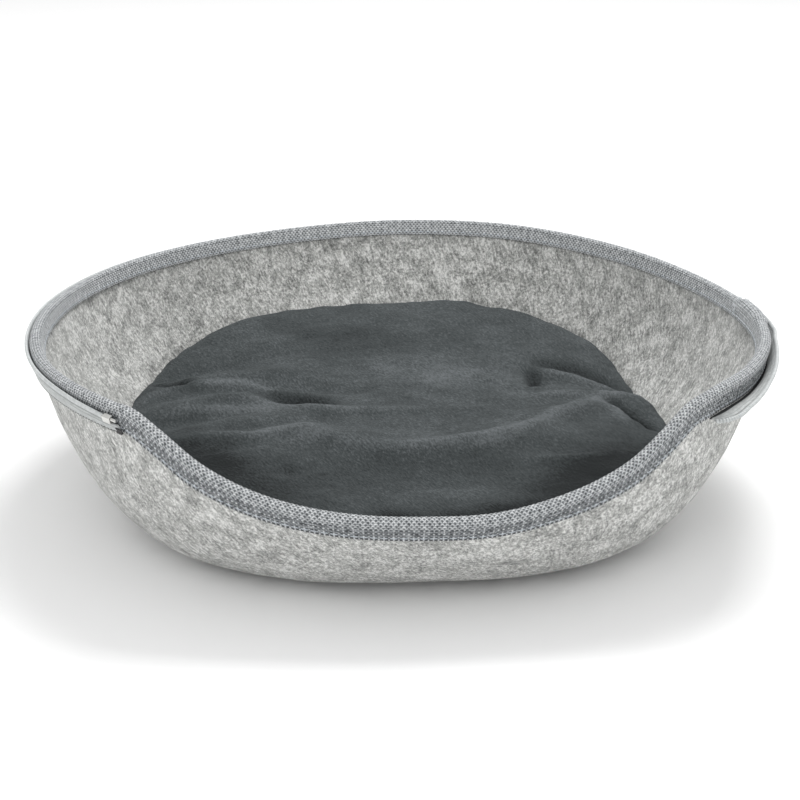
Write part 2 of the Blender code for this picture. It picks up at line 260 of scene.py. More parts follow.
# ---- mesh helpers -----------------------------------------------------------
def clear_selection() -> None:
    """Deselect every object, so that the next operator acts on its own piece alone."""
    for item in bpy.context.selected_objects:
        item.select_set(False)


def select_alone(item: bpy.types.Object) -> None:
    """Make one object the only selected and the active one."""
    clear_selection()
    item.select_set(True)
    bpy.context.view_layer.objects.active = item


def make_object(name: str, mesh: bpy.types.Mesh) -> bpy.types.Object:
    """A new linked object of a mesh, alone selected and active.

    Args:
        name: the object's name.
        mesh: its mesh.

    Returns:
        The object.
    """
    item = bpy.data.objects.new(name, mesh)
    bpy.context.collection.objects.link(item)
    select_alone(item)
    return item


@contextmanager
def edit_mode(action: str | None = "SELECT") -> Iterator[None]:
    """Edit the active piece.

    Args:
        action: what is done to the selection first: SELECT, DESELECT or None for nothing.
    """
    bpy.ops.object.mode_set(mode="EDIT")
    if action:
        bpy.ops.mesh.select_all(action=action)
    yield
    bpy.ops.object.mode_set(mode="OBJECT")


@contextmanager
def open_mesh(mesh: bpy.types.Mesh) -> Iterator[bmesh.types.BMesh]:
    """A mesh opened for editing and written back at the end."""
    bm = bmesh.new()
    bm.from_mesh(mesh)
    bm.verts.ensure_lookup_table()
    yield bm
    bm.to_mesh(mesh)
    bm.free()


def apply_modifier(item: bpy.types.Object, modifier: bpy.types.Modifier) -> None:
    """Apply one modifier to the piece that carries it."""
    select_alone(item)
    bpy.ops.object.modifier_apply(modifier=modifier.name)


def points_of(mesh: bpy.types.Mesh) -> Array:
    """A mesh's points, one row each."""
    out = np.empty(len(mesh.vertices) * 3)
    mesh.vertices.foreach_get("co", out)
    return out.reshape(-1, 3)


def normals_of(mesh: bpy.types.Mesh) -> Array:
    """A mesh's point normals, one row each."""
    out = np.empty(len(mesh.vertices) * 3)
    mesh.vertex_normals.foreach_get("vector", out)
    return out.reshape(-1, 3)


def move_points(mesh: bpy.types.Mesh, points: Array) -> None:
    """Give a mesh's points new places."""
    mesh.vertices.foreach_set("co", points.astype(np.float32).ravel())
    mesh.update()


def quads_mesh(name: str, points: Array, faces: Array) -> bpy.types.Mesh:
    """A smooth mesh of quads.

    Args:
        name: the mesh's name.
        points: one row a point.
        faces: four vertex numbers a quad.

    Returns:
        The mesh.
    """
    mesh = bpy.data.meshes.new(name)
    mesh.vertices.add(len(points))
    mesh.vertices.foreach_set("co", points.astype(np.float32).ravel())
    mesh.loops.add(faces.size)
    mesh.loops.foreach_set("vertex_index", faces.astype(np.int32).ravel())
    mesh.polygons.add(len(faces))
    starts = np.arange(0, faces.size, faces.shape[1], dtype=np.int32)
    mesh.polygons.foreach_set("loop_start", starts)
    mesh.update(calc_edges=True)
    mesh.polygons.foreach_set("use_smooth", np.ones(len(faces), dtype=bool))
    return mesh


def swept_mesh(name: str, rings: Array, end: End) -> bpy.types.Mesh:
    """A closed skin over rings of points.

    Args:
        name: the mesh's name.
        rings: points as (ring, place on the ring, xyz).
        end: how the first and the last ring are closed.

    Returns:
        The mesh, with its faces pointing out; a fan's two tips are its last points.
    """
    count, around = rings.shape[:2]
    near = np.arange(count if end is End.JOINED else count - 1)[:, None]
    far = (near + 1) % count
    i = np.arange(around)
    j = (i + 1) % around
    faces = np.stack([near * around + i, near * around + j,
                      far * around + j, far * around + i], -1).reshape(-1, 4)
    points = rings.reshape(-1, 3)
    if end is End.FAN:
        points = np.concatenate([points, [rings[0].mean(0), rings[-1].mean(0)]])
    mesh = quads_mesh(name, points, faces)
    with open_mesh(mesh) as bm:
        for side, start in enumerate((0, (count - 1) * around)):
            ring = [bm.verts[start + k] for k in range(around)]
            if end is End.CAP:
                bm.faces.new(ring)
            elif end is End.FAN:
                tip = bm.verts[count * around + side]
                for k in range(around):
                    bm.faces.new((ring[k], ring[(k + 1) % around], tip)).smooth = True
        bmesh.ops.recalc_face_normals(bm, faces=bm.faces)
    return mesh


def add_point_value(mesh: bpy.types.Mesh, name: str, values: Array) -> None:
    """Store one number a point, for a material to read."""
    layer = mesh.attributes.new(name, "FLOAT", "POINT")
    layer.data.foreach_set("value", values.astype(np.float32).ravel())


def add_uv(mesh: bpy.types.Mesh, u: Array, v: Array, u_length: float = 0.0) -> None:
    """Lay a UV map over a mesh from one (u, v) a point.

    Args:
        mesh: the mesh.
        u: along the piece, in metres.
        v: across it, in metres.
        u_length: the run of a closed piece, so that its last faces don't turn back.
    """
    corner = np.empty(len(mesh.loops), dtype=np.int32)
    mesh.loops.foreach_get("vertex_index", corner)
    start = np.empty(len(mesh.polygons), dtype=np.int32)
    total = np.empty(len(mesh.polygons), dtype=np.int32)
    mesh.polygons.foreach_get("loop_start", start)
    mesh.polygons.foreach_get("loop_total", total)
    place = u[corner].copy()
    if u_length:
        face = np.repeat(np.arange(len(start)), total)
        highest = np.maximum.reduceat(place, start)
        wraps = (highest[face] - place) > 0.5 * u_length
        place[wraps] += u_length
    layer = mesh.uv_layers.new(name="cloth")
    layer.data.foreach_set("uv", np.stack([place, v[corner]], -1).astype(np.float32).ravel())


def rod(radius: float, length: float, sides: int,
        middle: Triple = (0.0, 0.0, 0.0)) -> bpy.types.Object:
    """A capped rod along X to be shaped further, alone selected and active.

    Args:
        radius: its radius.
        length: its length.
        sides: how many sides it has.
        middle: the place of its middle.

    Returns:
        The rod, its place in its mesh.
    """
    clear_selection()
    bpy.ops.mesh.primitive_cylinder_add(vertices=sides, radius=radius, depth=length,
                                        end_fill_type="NGON", rotation=ALONG_X, location=middle)
    bpy.ops.object.transform_apply(location=True, rotation=True, scale=False)
    return bpy.context.active_object


def stitch(radius: float, length: float, dip: float, cuts: int = 1,
           narrowing: float = 0.0) -> bpy.types.Object:
    """One stitch of thread along X, its two ends drawn down into the cloth.

    Args:
        radius: the thread's radius.
        length: the stitch's length.
        dip: how far its ends go down.
        cuts: how often its sides are cut across.
        narrowing: the share by which its ends get narrower.

    Returns:
        The stitch.
    """
    item = rod(radius, length, sides=6)
    with edit_mode():
        bpy.ops.mesh.subdivide(number_cuts=cuts)
    for vert in item.data.vertices:
        reach = vert.co.x / (0.5 * length)
        vert.co.z -= dip * reach**4
        vert.co.y *= 1.0 - narrowing * reach**4
    return item


def copied_along(name: str, template: bpy.types.Object, places: Array) -> bpy.types.Object:
    """Copies of a small modelled piece at many places, joined as one piece.

    Args:
        name: the joined piece's name.
        template: the piece that is copied; it is removed.
        places: one 4x4 matrix for each copy.

    Returns:
        The joined object.
    """
    base = points_of(template.data)
    faces = [tuple(face.vertices) for face in template.data.polygons]
    points = np.einsum("mij,nj->mni", places[:, :3, :3], base) + places[:, None, :3, 3]
    every = []
    for k in range(len(places)):
        shift = k * len(base)
        every.extend([tuple(v + shift for v in face) for face in faces])
    joined = bpy.data.meshes.new(name)
    joined.from_pydata(points.reshape(-1, 3).tolist(), [], every)
    joined.update()
    bpy.data.objects.remove(template, do_unlink=True)
    item = make_object(name, joined)
    joined.shade_smooth()
    return item


def framed(origin: Array, along: Array, across: Array) -> Array:
    """Matrices that lay copies along a run.

    Args:
        origin: a place for each copy.
        along: the run's direction there, which becomes X.
        across: a direction across it, near Y; Z stands off both.

    Returns:
        One 4x4 matrix a copy.
    """
    x = unit(along)
    z = unit(np.cross(x, across))
    out = np.zeros((len(origin), 4, 4))
    for column, values in enumerate((x, np.cross(z, x), z, origin)):
        out[:, :3, column] = values
    out[:, 3, 3] = 1.0
    return out


def finished(piece: bpy.types.Object, material: bpy.types.Material,
             node: str = "") -> bpy.types.Object:
    """Give a piece its material and its body, and hide the solid that it replaces.

    Args:
        piece: the piece.
        material: its finish.
        node: the solid that it replaces, if any.

    Returns:
        The piece.
    """
    piece.data.materials.append(material)
    if node:
        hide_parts(node)
    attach(piece, "root")
    LOG.info("%s: %d faces", piece.name, len(piece.data.polygons))
    return piece


# ---- shader helpers ---------------------------------------------------------
class Shading:
    """A small writer of node trees: adds nodes, and links or sets their inputs."""

    def __init__(self, tree: bpy.types.NodeTree) -> None:
        """Start writing in a node tree."""
        self.tree = tree

    def node(self, kind: str, inputs: dict | None = None, **settings: object) -> bpy.types.Node:
        """Add a node, set its options, and link or set its inputs.

        Args:
            kind: the node's type name.
            inputs: input names or numbers to a socket or a value.
            settings: options of the node itself.

        Returns:
            The node.
        """
        made = self.tree.nodes.new(kind)
        for key, value in settings.items():
            setattr(made, key, value)
        for key, value in (inputs or {}).items():
            self.feed(made.inputs[key], value)
        return made

    def feed(self, socket: Socket, value: object) -> None:
        """Link a socket to an input, or set its value.

        Args:
            socket: the input.
            value: a socket to link, or a plain value.
        """
        if isinstance(value, Socket):
            self.tree.links.new(value, socket)
        else:
            socket.default_value = value

    def place(self) -> Socket:
        """The point's own place on the object."""
        return self.node("ShaderNodeTexCoord").outputs["Object"]

    def cloth(self) -> Socket:
        """The place on the cloth's own map: along it and across it, in metres."""
        return self.node("ShaderNodeUVMap", uv_map="cloth").outputs["UV"]

    def axes(self, vector: Socket) -> bpy.types.Node:
        """A vector's three numbers, one an output."""
        return self.node("ShaderNodeSeparateXYZ", {"Vector": vector})

    def math(self, operation: str, first: object, second: object = 0.0) -> Socket:
        """A Math node's output."""
        return self.node("ShaderNodeMath", {0: first, 1: second}, operation=operation).outputs[0]

    def vector(self, operation: str, first: object, second: object) -> Socket:
        """A Vector Math node's output."""
        return self.node("ShaderNodeVectorMath", {0: first, 1: second},
                         operation=operation).outputs["Vector"]

    def total(self, base: float, *parts: tuple[Socket, float]) -> Socket:
        """A base value with weighted parts added to it.

        Args:
            base: the value to start from.
            parts: sockets, each with its weight.

        Returns:
            The sum.
        """
        value: object = base
        for part, weight in parts:
            value = self.math("ADD", value, self.math("MULTIPLY", part, weight))
        return value

    def wave(self, value: Socket, turns: float) -> Socket:
        """Cosine of a value, with that many waves to each whole number."""
        return self.math("COSINE", self.math("MULTIPLY", value, 2 * math.pi * turns))

    def sharp(self, value: Socket, power: float) -> Socket:
        """Only the peaks of a wave, narrowed."""
        return self.math("POWER", self.math("MAXIMUM", value, 0.0), power)

    def ramp(self, fac: Socket, stops: Sequence[tuple[float, Triple]]) -> Socket:
        """Colours along a value.

        Args:
            fac: the value.
            stops: places along it, each with its linear colour.

        Returns:
            The colour.
        """
        made = self.node("ShaderNodeValToRGB", {"Fac": fac})
        elements = made.color_ramp.elements
        while len(elements) < len(stops):
            elements.new(0.5)
        for element, (place, color) in zip(elements, stops):
            element.position = place
            element.color = (*color, 1.0)
        return made.outputs["Color"]

    def noise(self, vector: Socket, scale: float, detail: float = 2.0,
              roughness: float = 0.5, distortion: float = 0.0) -> Socket:
        """A noise's value over a coordinate in metres; scale is in waves a metre."""
        return self.node("ShaderNodeTexNoise", {
            "Vector": vector, "Scale": scale, "Detail": detail,
            "Roughness": roughness, "Distortion": distortion}).outputs["Fac"]

    def stray(self, vector: Socket, scale: float) -> Socket:
        """A noise's colour over a coordinate, to push patterns off their places with."""
        return self.node("ShaderNodeTexNoise", {
            "Vector": vector, "Scale": scale, "Detail": 2.0}).outputs["Color"]

    def stretched(self, vector: Socket, scale: Triple, turn: float = 0.0) -> Socket:
        """A coordinate turned about Z, then scaled along its axes."""
        return self.node("ShaderNodeMapping", {
            "Vector": vector, "Rotation": (0.0, 0.0, turn),
            "Scale": tuple(1.0 / share for share in scale)},
            vector_type="TEXTURE").outputs["Vector"]

    def spread(self, value: Socket, low: float, high: float) -> Socket:
        """The value from low to high stretched over 0 to 1."""
        return self.node("ShaderNodeMapRange", {
            "Value": value, "From Min": low, "From Max": high}, clamp=True).outputs["Result"]

    def blend(self, fac: Socket, first: Socket, second: Socket) -> Socket:
        """From the first value to the second."""
        return self.node("ShaderNodeMix", {0: fac, 2: first, 3: second},
                         data_type="FLOAT").outputs[0]

    def tint(self, fac: Socket, first: Socket, second: Triple) -> Socket:
        """From a colour to a plain one."""
        return self.node("ShaderNodeMix", {0: fac, 6: first, 7: (*second, 1.0)},
                         data_type="RGBA", blend_type="MIX").outputs[2]

    def bump(self, height: Socket, distance: float, strength: float) -> Socket:
        """A Bump node's normal."""
        return self.node("ShaderNodeBump", {"Height": height, "Distance": distance,
                                            "Strength": strength}).outputs["Normal"]


class Finish:
    """A material's look: its nodes are written by draw, its plain settings by settings."""

    def draw(self, kit: Shading) -> dict[str, Socket]:
        """Write the material's nodes, and return what feeds the shader's inputs."""
        return {}

    def settings(self) -> dict[str, object]:
        """The shader's values that are the same all over the surface."""
        return {}

    def material(self, name: str) -> bpy.types.Material:
        """Build the material.

        Args:
            name: the material's name.

        Returns:
            The material.
        """
        material = bpy.data.materials.new(name)
        material.use_nodes = True
        shader = material.node_tree.nodes["Principled BSDF"]
        kit = Shading(material.node_tree)
        for key, value in {**self.settings(), **self.draw(kit)}.items():
            kit.feed(shader.inputs[key], value)
        return material


def fibre_group() -> bpy.types.ShaderNodeTree:
    """The shared group that draws matted or napped fibres over a coordinate.

    Returns:
        A group with a Vector and a Size in, and out a blotch, a strand mask and a height.
    """
    name = "matted_fibres"
    if name in bpy.data.node_groups:
        return bpy.data.node_groups[name]
    tree = bpy.data.node_groups.new(name, "ShaderNodeTree")
    face = tree.interface
    face.new_socket("Vector", in_out="INPUT", socket_type="NodeSocketVector")
    face.new_socket("Size", in_out="INPUT", socket_type="NodeSocketFloat")
    for label in ("Blotch", "Strands", "Height"):
        face.new_socket(label, in_out="OUTPUT", socket_type="NodeSocketFloat")
    kit = Shading(tree)
    inside = kit.node("NodeGroupInput")
    out = kit.node("NodeGroupOutput")
    sized = kit.node("ShaderNodeVectorMath", {0: inside.outputs["Vector"],
                                              "Scale": inside.outputs["Size"]},
                     operation="SCALE").outputs["Vector"]
    # a slow swirl carries the strands off their three straight directions
    swirl = kit.vector("MULTIPLY", kit.stray(sized, 0.9), (1.6, 1.6, 1.6))
    carried = kit.vector("ADD", sized, swirl)
    first, second, third = (
        kit.noise(kit.stretched(carried, (1.0, 6.5, 3.2), turn), 3.0, 3.0, 0.7, 0.6)
        for turn in (0.3, 1.35, 2.4))
    strands = kit.math("MAXIMUM", kit.math("MAXIMUM", first, second), third)
    grain = kit.noise(sized, 14.0, 3.0, 0.7, 0.2)
    kit.feed(out.inputs["Blotch"], kit.noise(sized, 1.0, 5.0, 0.62, 0.35))
    kit.feed(out.inputs["Strands"], strands)
    kit.feed(out.inputs["Height"], kit.math("ADD", strands, kit.math("MULTIPLY", grain, 0.45)))
    return tree


def fibres(kit: Shading, vector: Socket, size: float) -> bpy.types.NodeOutputs:
    """The outputs of the shared fibre group over a coordinate, size in waves a metre."""
    return kit.node("ShaderNodeGroup", {"Vector": vector, "Size": size},
                    node_tree=fibre_group()).outputs


# ---- finishes ---------------------------------------------------------------
@dataclass(frozen=True)
class FeltFinish(Finish):
    """Mottled pale grey wool felt, matte, with fine matted fibres."""

    dark: Triple = (0.14, 0.142, 0.137)
    mid: Triple = (0.395, 0.400, 0.384)
    light: Triple = (0.82, 0.82, 0.80)
    blotch_size: float = 88.0
    fleck_size: float = 650.0
    fibre_size: float = 70.0
    streak_size: float = 620.0
    streak_stretch: Triple = (1.0, 0.30, 1.0)
    streak_turn: float = 0.38
    blotch_share: float = 0.23
    fleck_share: float = 0.32
    streak_share: float = 0.32
    strand_share: float = 0.22
    window: tuple[float, float] = (0.4654, 0.6264)

    def draw(self, kit: Shading) -> dict[str, Socket]:
        """Blotches, flecks, streaks and strands, laid over each other."""
        place = kit.place()
        broad = fibres(kit, place, self.blotch_size)
        fine = fibres(kit, place, self.fleck_size)
        matted = fibres(kit, place, self.fibre_size)
        laid = kit.stretched(kit.cloth(), self.streak_stretch, self.streak_turn)
        streaks = kit.noise(laid, self.streak_size, 4.0, 0.72, 0.8)
        tone = kit.total(0.0, (broad["Blotch"], self.blotch_share),
                         (fine["Blotch"], self.fleck_share), (streaks, self.streak_share),
                         (matted["Strands"], self.strand_share))
        height = kit.total(0.0, (fine["Height"], 0.7), (broad["Height"], 0.5))
        stops = ((0.0, self.dark), (0.5, self.mid), (1.0, self.light))
        return {"Base Color": kit.ramp(kit.spread(tone, *self.window), stops),
                "Normal": kit.bump(height, 1.2 * MM, 0.55)}

    def settings(self) -> dict[str, object]:
        """Matte, with a little sheen from loose fibres."""
        return {"Roughness": 0.95, "Specular IOR Level": 0.15,
                "Sheen Weight": 0.25, "Sheen Roughness": 0.6}


@dataclass(frozen=True)
class Weave:
    """The webbing's repeat along it, its rows across it, and the rows that lie on the fold."""

    beat: float = 5.35 * MM
    row_pitch: float = 1.45 * MM
    roll_rows: tuple[float, float] = (6.5, 14.5)


@dataclass(frozen=True)
class WebbingFinish(Finish):
    """Coarse blue-grey woven webbing, with painted shade between threads and painted highlights on
    top.
    """

    weave: Weave
    painted_gap_shade: Triple = (0.040, 0.044, 0.048)
    thread: Triple = (0.245, 0.260, 0.270)
    painted_crest_light: Triple = (0.74, 0.755, 0.765)
    loop_shift: float = 0.6
    loop_radius: float = 0.36
    stray: float = 0.9 * MM
    stray_size: float = 420.0
    float_size: float = 900.0
    pick_size: float = 330.0
    twist_size: float = 1900.0
    wear_size: float = 210.0

    def loops(self, kit: Shading, beats: Socket, row: Socket) -> Socket:
        """Bricked loops of thread, each an arch of 1 round an eye of 0.

        Args:
            kit: the material's writer.
            beats: distance along the webbing, in repeats of its weave.
            row: distance across it, in rows.

        Returns:
            The loops' height.
        """
        moved = kit.math("ADD", row, self.loop_shift)
        odd = kit.math("MODULO", kit.math("ADD", kit.math("FLOOR", moved), 1.0), 2.0)
        along = kit.math("FRACT", kit.total(0.0, (beats, 2.0), (odd, 0.5)))
        x = kit.math("SUBTRACT", along, 0.5)
        y = kit.math("MULTIPLY", kit.math("FRACT", moved), 0.6)
        reach = kit.math("SQRT", kit.math("ADD", kit.math("MULTIPLY", x, x),
                                          kit.math("MULTIPLY", y, y)))
        off = kit.math("ABSOLUTE", kit.math("SUBTRACT", reach, self.loop_radius))
        return kit.spread(off, 0.24, 0.04)

    def woven(self, kit: Shading, cloth: Socket, beats: Socket, row: Socket) -> Socket:
        """Upright picks and floats on the outer leg, plump loops on the roll, fine rows inside.

        Args:
            kit: the material's writer.
            cloth: the webbing's own map.
            beats: distance along the webbing, in repeats of its weave.
            row: distance across it, in rows.

        Returns:
            The threads' height, 0 in the gaps and about 1 on the crests.
        """
        halves = kit.wave(beats, 2.0)
        beads = kit.math("MULTIPLY", halves, kit.wave(row, 0.5))
        columns = kit.wave(beats, 1.0)
        lines = kit.wave(row, 1.0)
        upright = kit.math("MULTIPLY", kit.sharp(halves, 2.0), kit.total(0.55, (lines, 0.45)))
        picks = kit.math("MULTIPLY", kit.sharp(columns, 5.0), kit.total(0.5, (lines, 0.5)))
        floats = kit.noise(kit.stretched(cloth, (0.22, 1.0, 1.0)), self.float_size, 1.0)
        loops = self.loops(kit, beats, row)
        outer = kit.total(-0.26, (beads, 0.20), (upright, 0.32), (picks, 0.28), (floats, 1.05))
        # the lower edge row alternates strongly: painted dots of shade along the webbing's lower
        # edge
        edge = kit.total(0.24, (halves, 0.50))
        roll = kit.total(0.25, (beads, 0.14), (columns, 0.06), (loops, 0.45))
        inner = kit.total(0.45, (beads, 0.20), (columns, 0.05), (loops, 0.30))
        low, high = self.weave.roll_rows
        tone = kit.blend(kit.spread(row, 0.7, 1.1), edge, outer)
        tone = kit.blend(kit.spread(row, low - 0.4, low + 0.4), tone, roll)
        return kit.blend(kit.spread(row, high - 0.4, high + 0.4), tone, inner)

    def draw(self, kit: Shading) -> dict[str, Socket]:
        """The weave over the webbing's own map, each thread a little off its place."""
        cloth = kit.cloth()
        push = kit.vector("MULTIPLY", kit.stray(cloth, self.stray_size),
                          (self.stray, self.stray, 0.0))
        moved = kit.vector("SUBTRACT", kit.vector("ADD", cloth, push),
                           (0.5 * self.stray, 0.5 * self.stray, 0.0))
        axes = kit.axes(moved)
        beats = kit.math("DIVIDE", axes.outputs["X"], self.weave.beat)
        row = kit.math("DIVIDE", axes.outputs["Y"], self.weave.row_pitch)
        woven = self.woven(kit, cloth, beats, row)
        picked = kit.noise(cloth, self.pick_size, 1.0)
        laid = kit.stretched(cloth, (1.0, 1.7, 1.0), 0.6)
        twist = kit.noise(laid, self.twist_size, 2.0, 0.6)
        worn = kit.noise(cloth, self.wear_size, 3.0, 0.6)
        # a noise is about a half, so the base takes off half of the three weights
        tone = kit.total(-0.85, (woven, 1.0), (twist, 0.80), (worn, 0.40), (picked, 0.50))
        # near-black painted shade in the low places between threads, painted highlight on their
        # tops
        stops = ((0.06, self.painted_gap_shade), (0.46, self.thread), (0.94, self.painted_crest_light))
        height = kit.total(0.0, (woven, 1.0), (twist, 0.35))
        return {"Base Color": kit.ramp(tone, stops), "Normal": kit.bump(height, 0.6 * MM, 0.8)}

    def settings(self) -> dict[str, object]:
        """A dull synthetic thread."""
        return {"Roughness": 0.62, "Specular IOR Level": 0.4}


@dataclass(frozen=True)
class ZipClothFinish(Finish):
    """Fine pale grey woven tape with a cross rib, painted shade where it meets the webbing and by
    its cords.
    """

    low: Triple = (0.36, 0.375, 0.372)
    high: Triple = (0.58, 0.60, 0.595)
    painted_shade_line_colour: Triple = (0.13, 0.135, 0.14)
    painted_tuck_shade: Triple = (0.022, 0.023, 0.025)
    painted_tuck_shade_reach: tuple[float, float] = (3.3 * MM, 2.5 * MM)
    painted_shade_lines: tuple[float, ...] = (8.5 * MM, 11.7 * MM)
    painted_shade_line_edge: tuple[float, float] = (0.42 * MM, 0.12 * MM)
    painted_shade_line_share: float = 0.5
    rib_pitch: float = 0.8 * MM
    wear_size: float = 240.0

    def draw(self, kit: Shading) -> dict[str, Socket]:
        """Ribs, wear, painted shade beside the cord lines and where the tape meets the webbing."""
        cloth = kit.cloth()
        axes = kit.axes(cloth)
        turn = 2 * math.pi / self.rib_pitch
        along = kit.math("SINE", kit.math("MULTIPLY", axes.outputs["X"], turn))
        across = kit.math("SINE", kit.math("MULTIPLY", axes.outputs["Y"], turn * 0.8))
        rib = kit.math("MULTIPLY", along, across)
        worn = kit.noise(cloth, self.wear_size, 4.0, 0.65)
        tone = kit.total(0.0, (rib, 0.12), (worn, 1.0))
        color = kit.ramp(tone, ((0.3, self.low), (0.72, self.high)))
        # painted shade in a line beside each raised cord line
        for place in self.painted_shade_lines:
            off = kit.math("ABSOLUTE", kit.math("SUBTRACT", axes.outputs["Y"], place))
            mask = kit.math("MULTIPLY", kit.spread(off, *self.painted_shade_line_edge), self.painted_shade_line_share)
            color = kit.tint(mask, color, self.painted_shade_line_colour)
        # painted shade where the tape tucks under the webbing
        color = kit.tint(kit.spread(axes.outputs["Y"], *self.painted_tuck_shade_reach), color, self.painted_tuck_shade)
        return {"Base Color": color, "Normal": kit.bump(rib, 0.12 * MM, 0.6)}

    def settings(self) -> dict[str, object]:
        """A dull synthetic thread."""
        return {"Roughness": 0.62, "Specular IOR Level": 0.4}


@dataclass(frozen=True)
class ZipNylonFinish(Finish):
    """Pale grey nylon with a soft, uneven gloss."""

    low: Triple = (0.42, 0.44, 0.44)
    high: Triple = (0.58, 0.60, 0.60)
    wear_size: float = 380.0

    def draw(self, kit: Shading) -> dict[str, Socket]:
        """Wear that darkens and dulls it."""
        worn = kit.noise(kit.place(), self.wear_size, 3.0, 0.6)
        return {"Base Color": kit.ramp(worn, ((0.3, self.low), (0.7, self.high))),
                "Roughness": kit.total(0.3, (worn, 0.25))}


@dataclass(frozen=True)
class ZipMetalFinish(Finish):
    """Bright nickel-plated metal, lightly scratched."""

    color: Triple = (0.62, 0.62, 0.60)
    scratch_size: float = 500.0

    def draw(self, kit: Shading) -> dict[str, Socket]:
        """Fine scratches in one direction."""
        laid = kit.stretched(kit.place(), (1.0, 9.0, 9.0), 0.7)
        scratches = kit.noise(laid, self.scratch_size, 2.0, 0.7)
        return {"Roughness": kit.total(0.1, (scratches, 0.25)),
                "Normal": kit.bump(scratches, 0.05 * MM, 0.5)}

    def settings(self) -> dict[str, object]:
        """Plain metal."""
        return {"Base Color": (*self.color, 1.0), "Metallic": 1.0}


@dataclass(frozen=True)
class ThreadFinish(Finish):
    """Sewing thread with a twist."""

    low: Triple
    high: Triple
    twist_size: float = 2200.0

    def draw(self, kit: Shading) -> dict[str, Socket]:
        """The twist, light and dark."""
        twist = kit.noise(kit.place(), self.twist_size, 1.0)
        return {"Base Color": kit.ramp(twist, ((0.35, self.low), (0.65, self.high))),
                "Normal": kit.bump(twist, 0.1 * MM, 0.5)}

    def settings(self) -> dict[str, object]:
        """A dull synthetic thread."""
        return {"Roughness": 0.55}


@dataclass(frozen=True)
class PlushFinish(Finish):
    """Dark slate short-pile plush, with painted light on ridges and painted shade in troughs."""

    deep: Triple = (0.012, 0.014, 0.0145)
    mid: Triple = (0.050, 0.057, 0.0585)
    nap_and_painted_light: Triple = (0.150, 0.162, 0.170)
    sheen: Triple = (0.55, 0.60, 0.64)
    pile_size: float = 330.0
    pile_stretch: Triple = (1.0, 2.6, 2.6)
    pile_turn: float = -1.13
    brushed_size: float = 26.0

    def draw(self, kit: Shading) -> dict[str, Socket]:
        """Painted light and shade from the folds and patches, broad brushing and short strokes of
        pile.
        """
        place = kit.place()
        # painted light on the ridges, painted shade in the troughs and patches, stored on the
        # points
        painted_crest_light = kit.node("ShaderNodeAttribute", attribute_name="nap_and_painted_light").outputs["Fac"]
        brushed = fibres(kit, place, self.brushed_size)["Blotch"]
        laid = kit.stretched(place, self.pile_stretch, self.pile_turn)
        pile = kit.noise(laid, self.pile_size, 3.0, 0.62, 0.35)
        # a noise is about a half, so the base takes off half of the two weights
        tone = kit.total(-0.775, (painted_crest_light, 1.0), (brushed, 0.55), (pile, 1.0))
        # the light end shows the ridges' painted light, the dark end the troughs' painted shade
        stops = ((0.0, self.deep), (0.5, self.mid), (1.0, self.nap_and_painted_light))
        return {"Base Color": kit.ramp(tone, stops), "Normal": kit.bump(pile, 1.6 * MM, 0.7)}

    def settings(self) -> dict[str, object]:
        """Matte, with the faint sheen of a pile."""
        return {"Roughness": 0.88, "Specular IOR Level": 0.12, "Sheen Weight": 0.07,
                "Sheen Roughness": 0.35, "Sheen Tint": (*self.sheen, 1.0)}


@dataclass(frozen=True)
class FloorFinish(Finish):
    """The studio's plain pale floor."""

    color: Triple = (0.95, 0.95, 0.95)

    def settings(self) -> dict[str, object]:
        """Pale and matte."""
        return {"Base Color": (*self.color, 1.0), "Roughness": 0.9, "Specular IOR Level": 0.1}


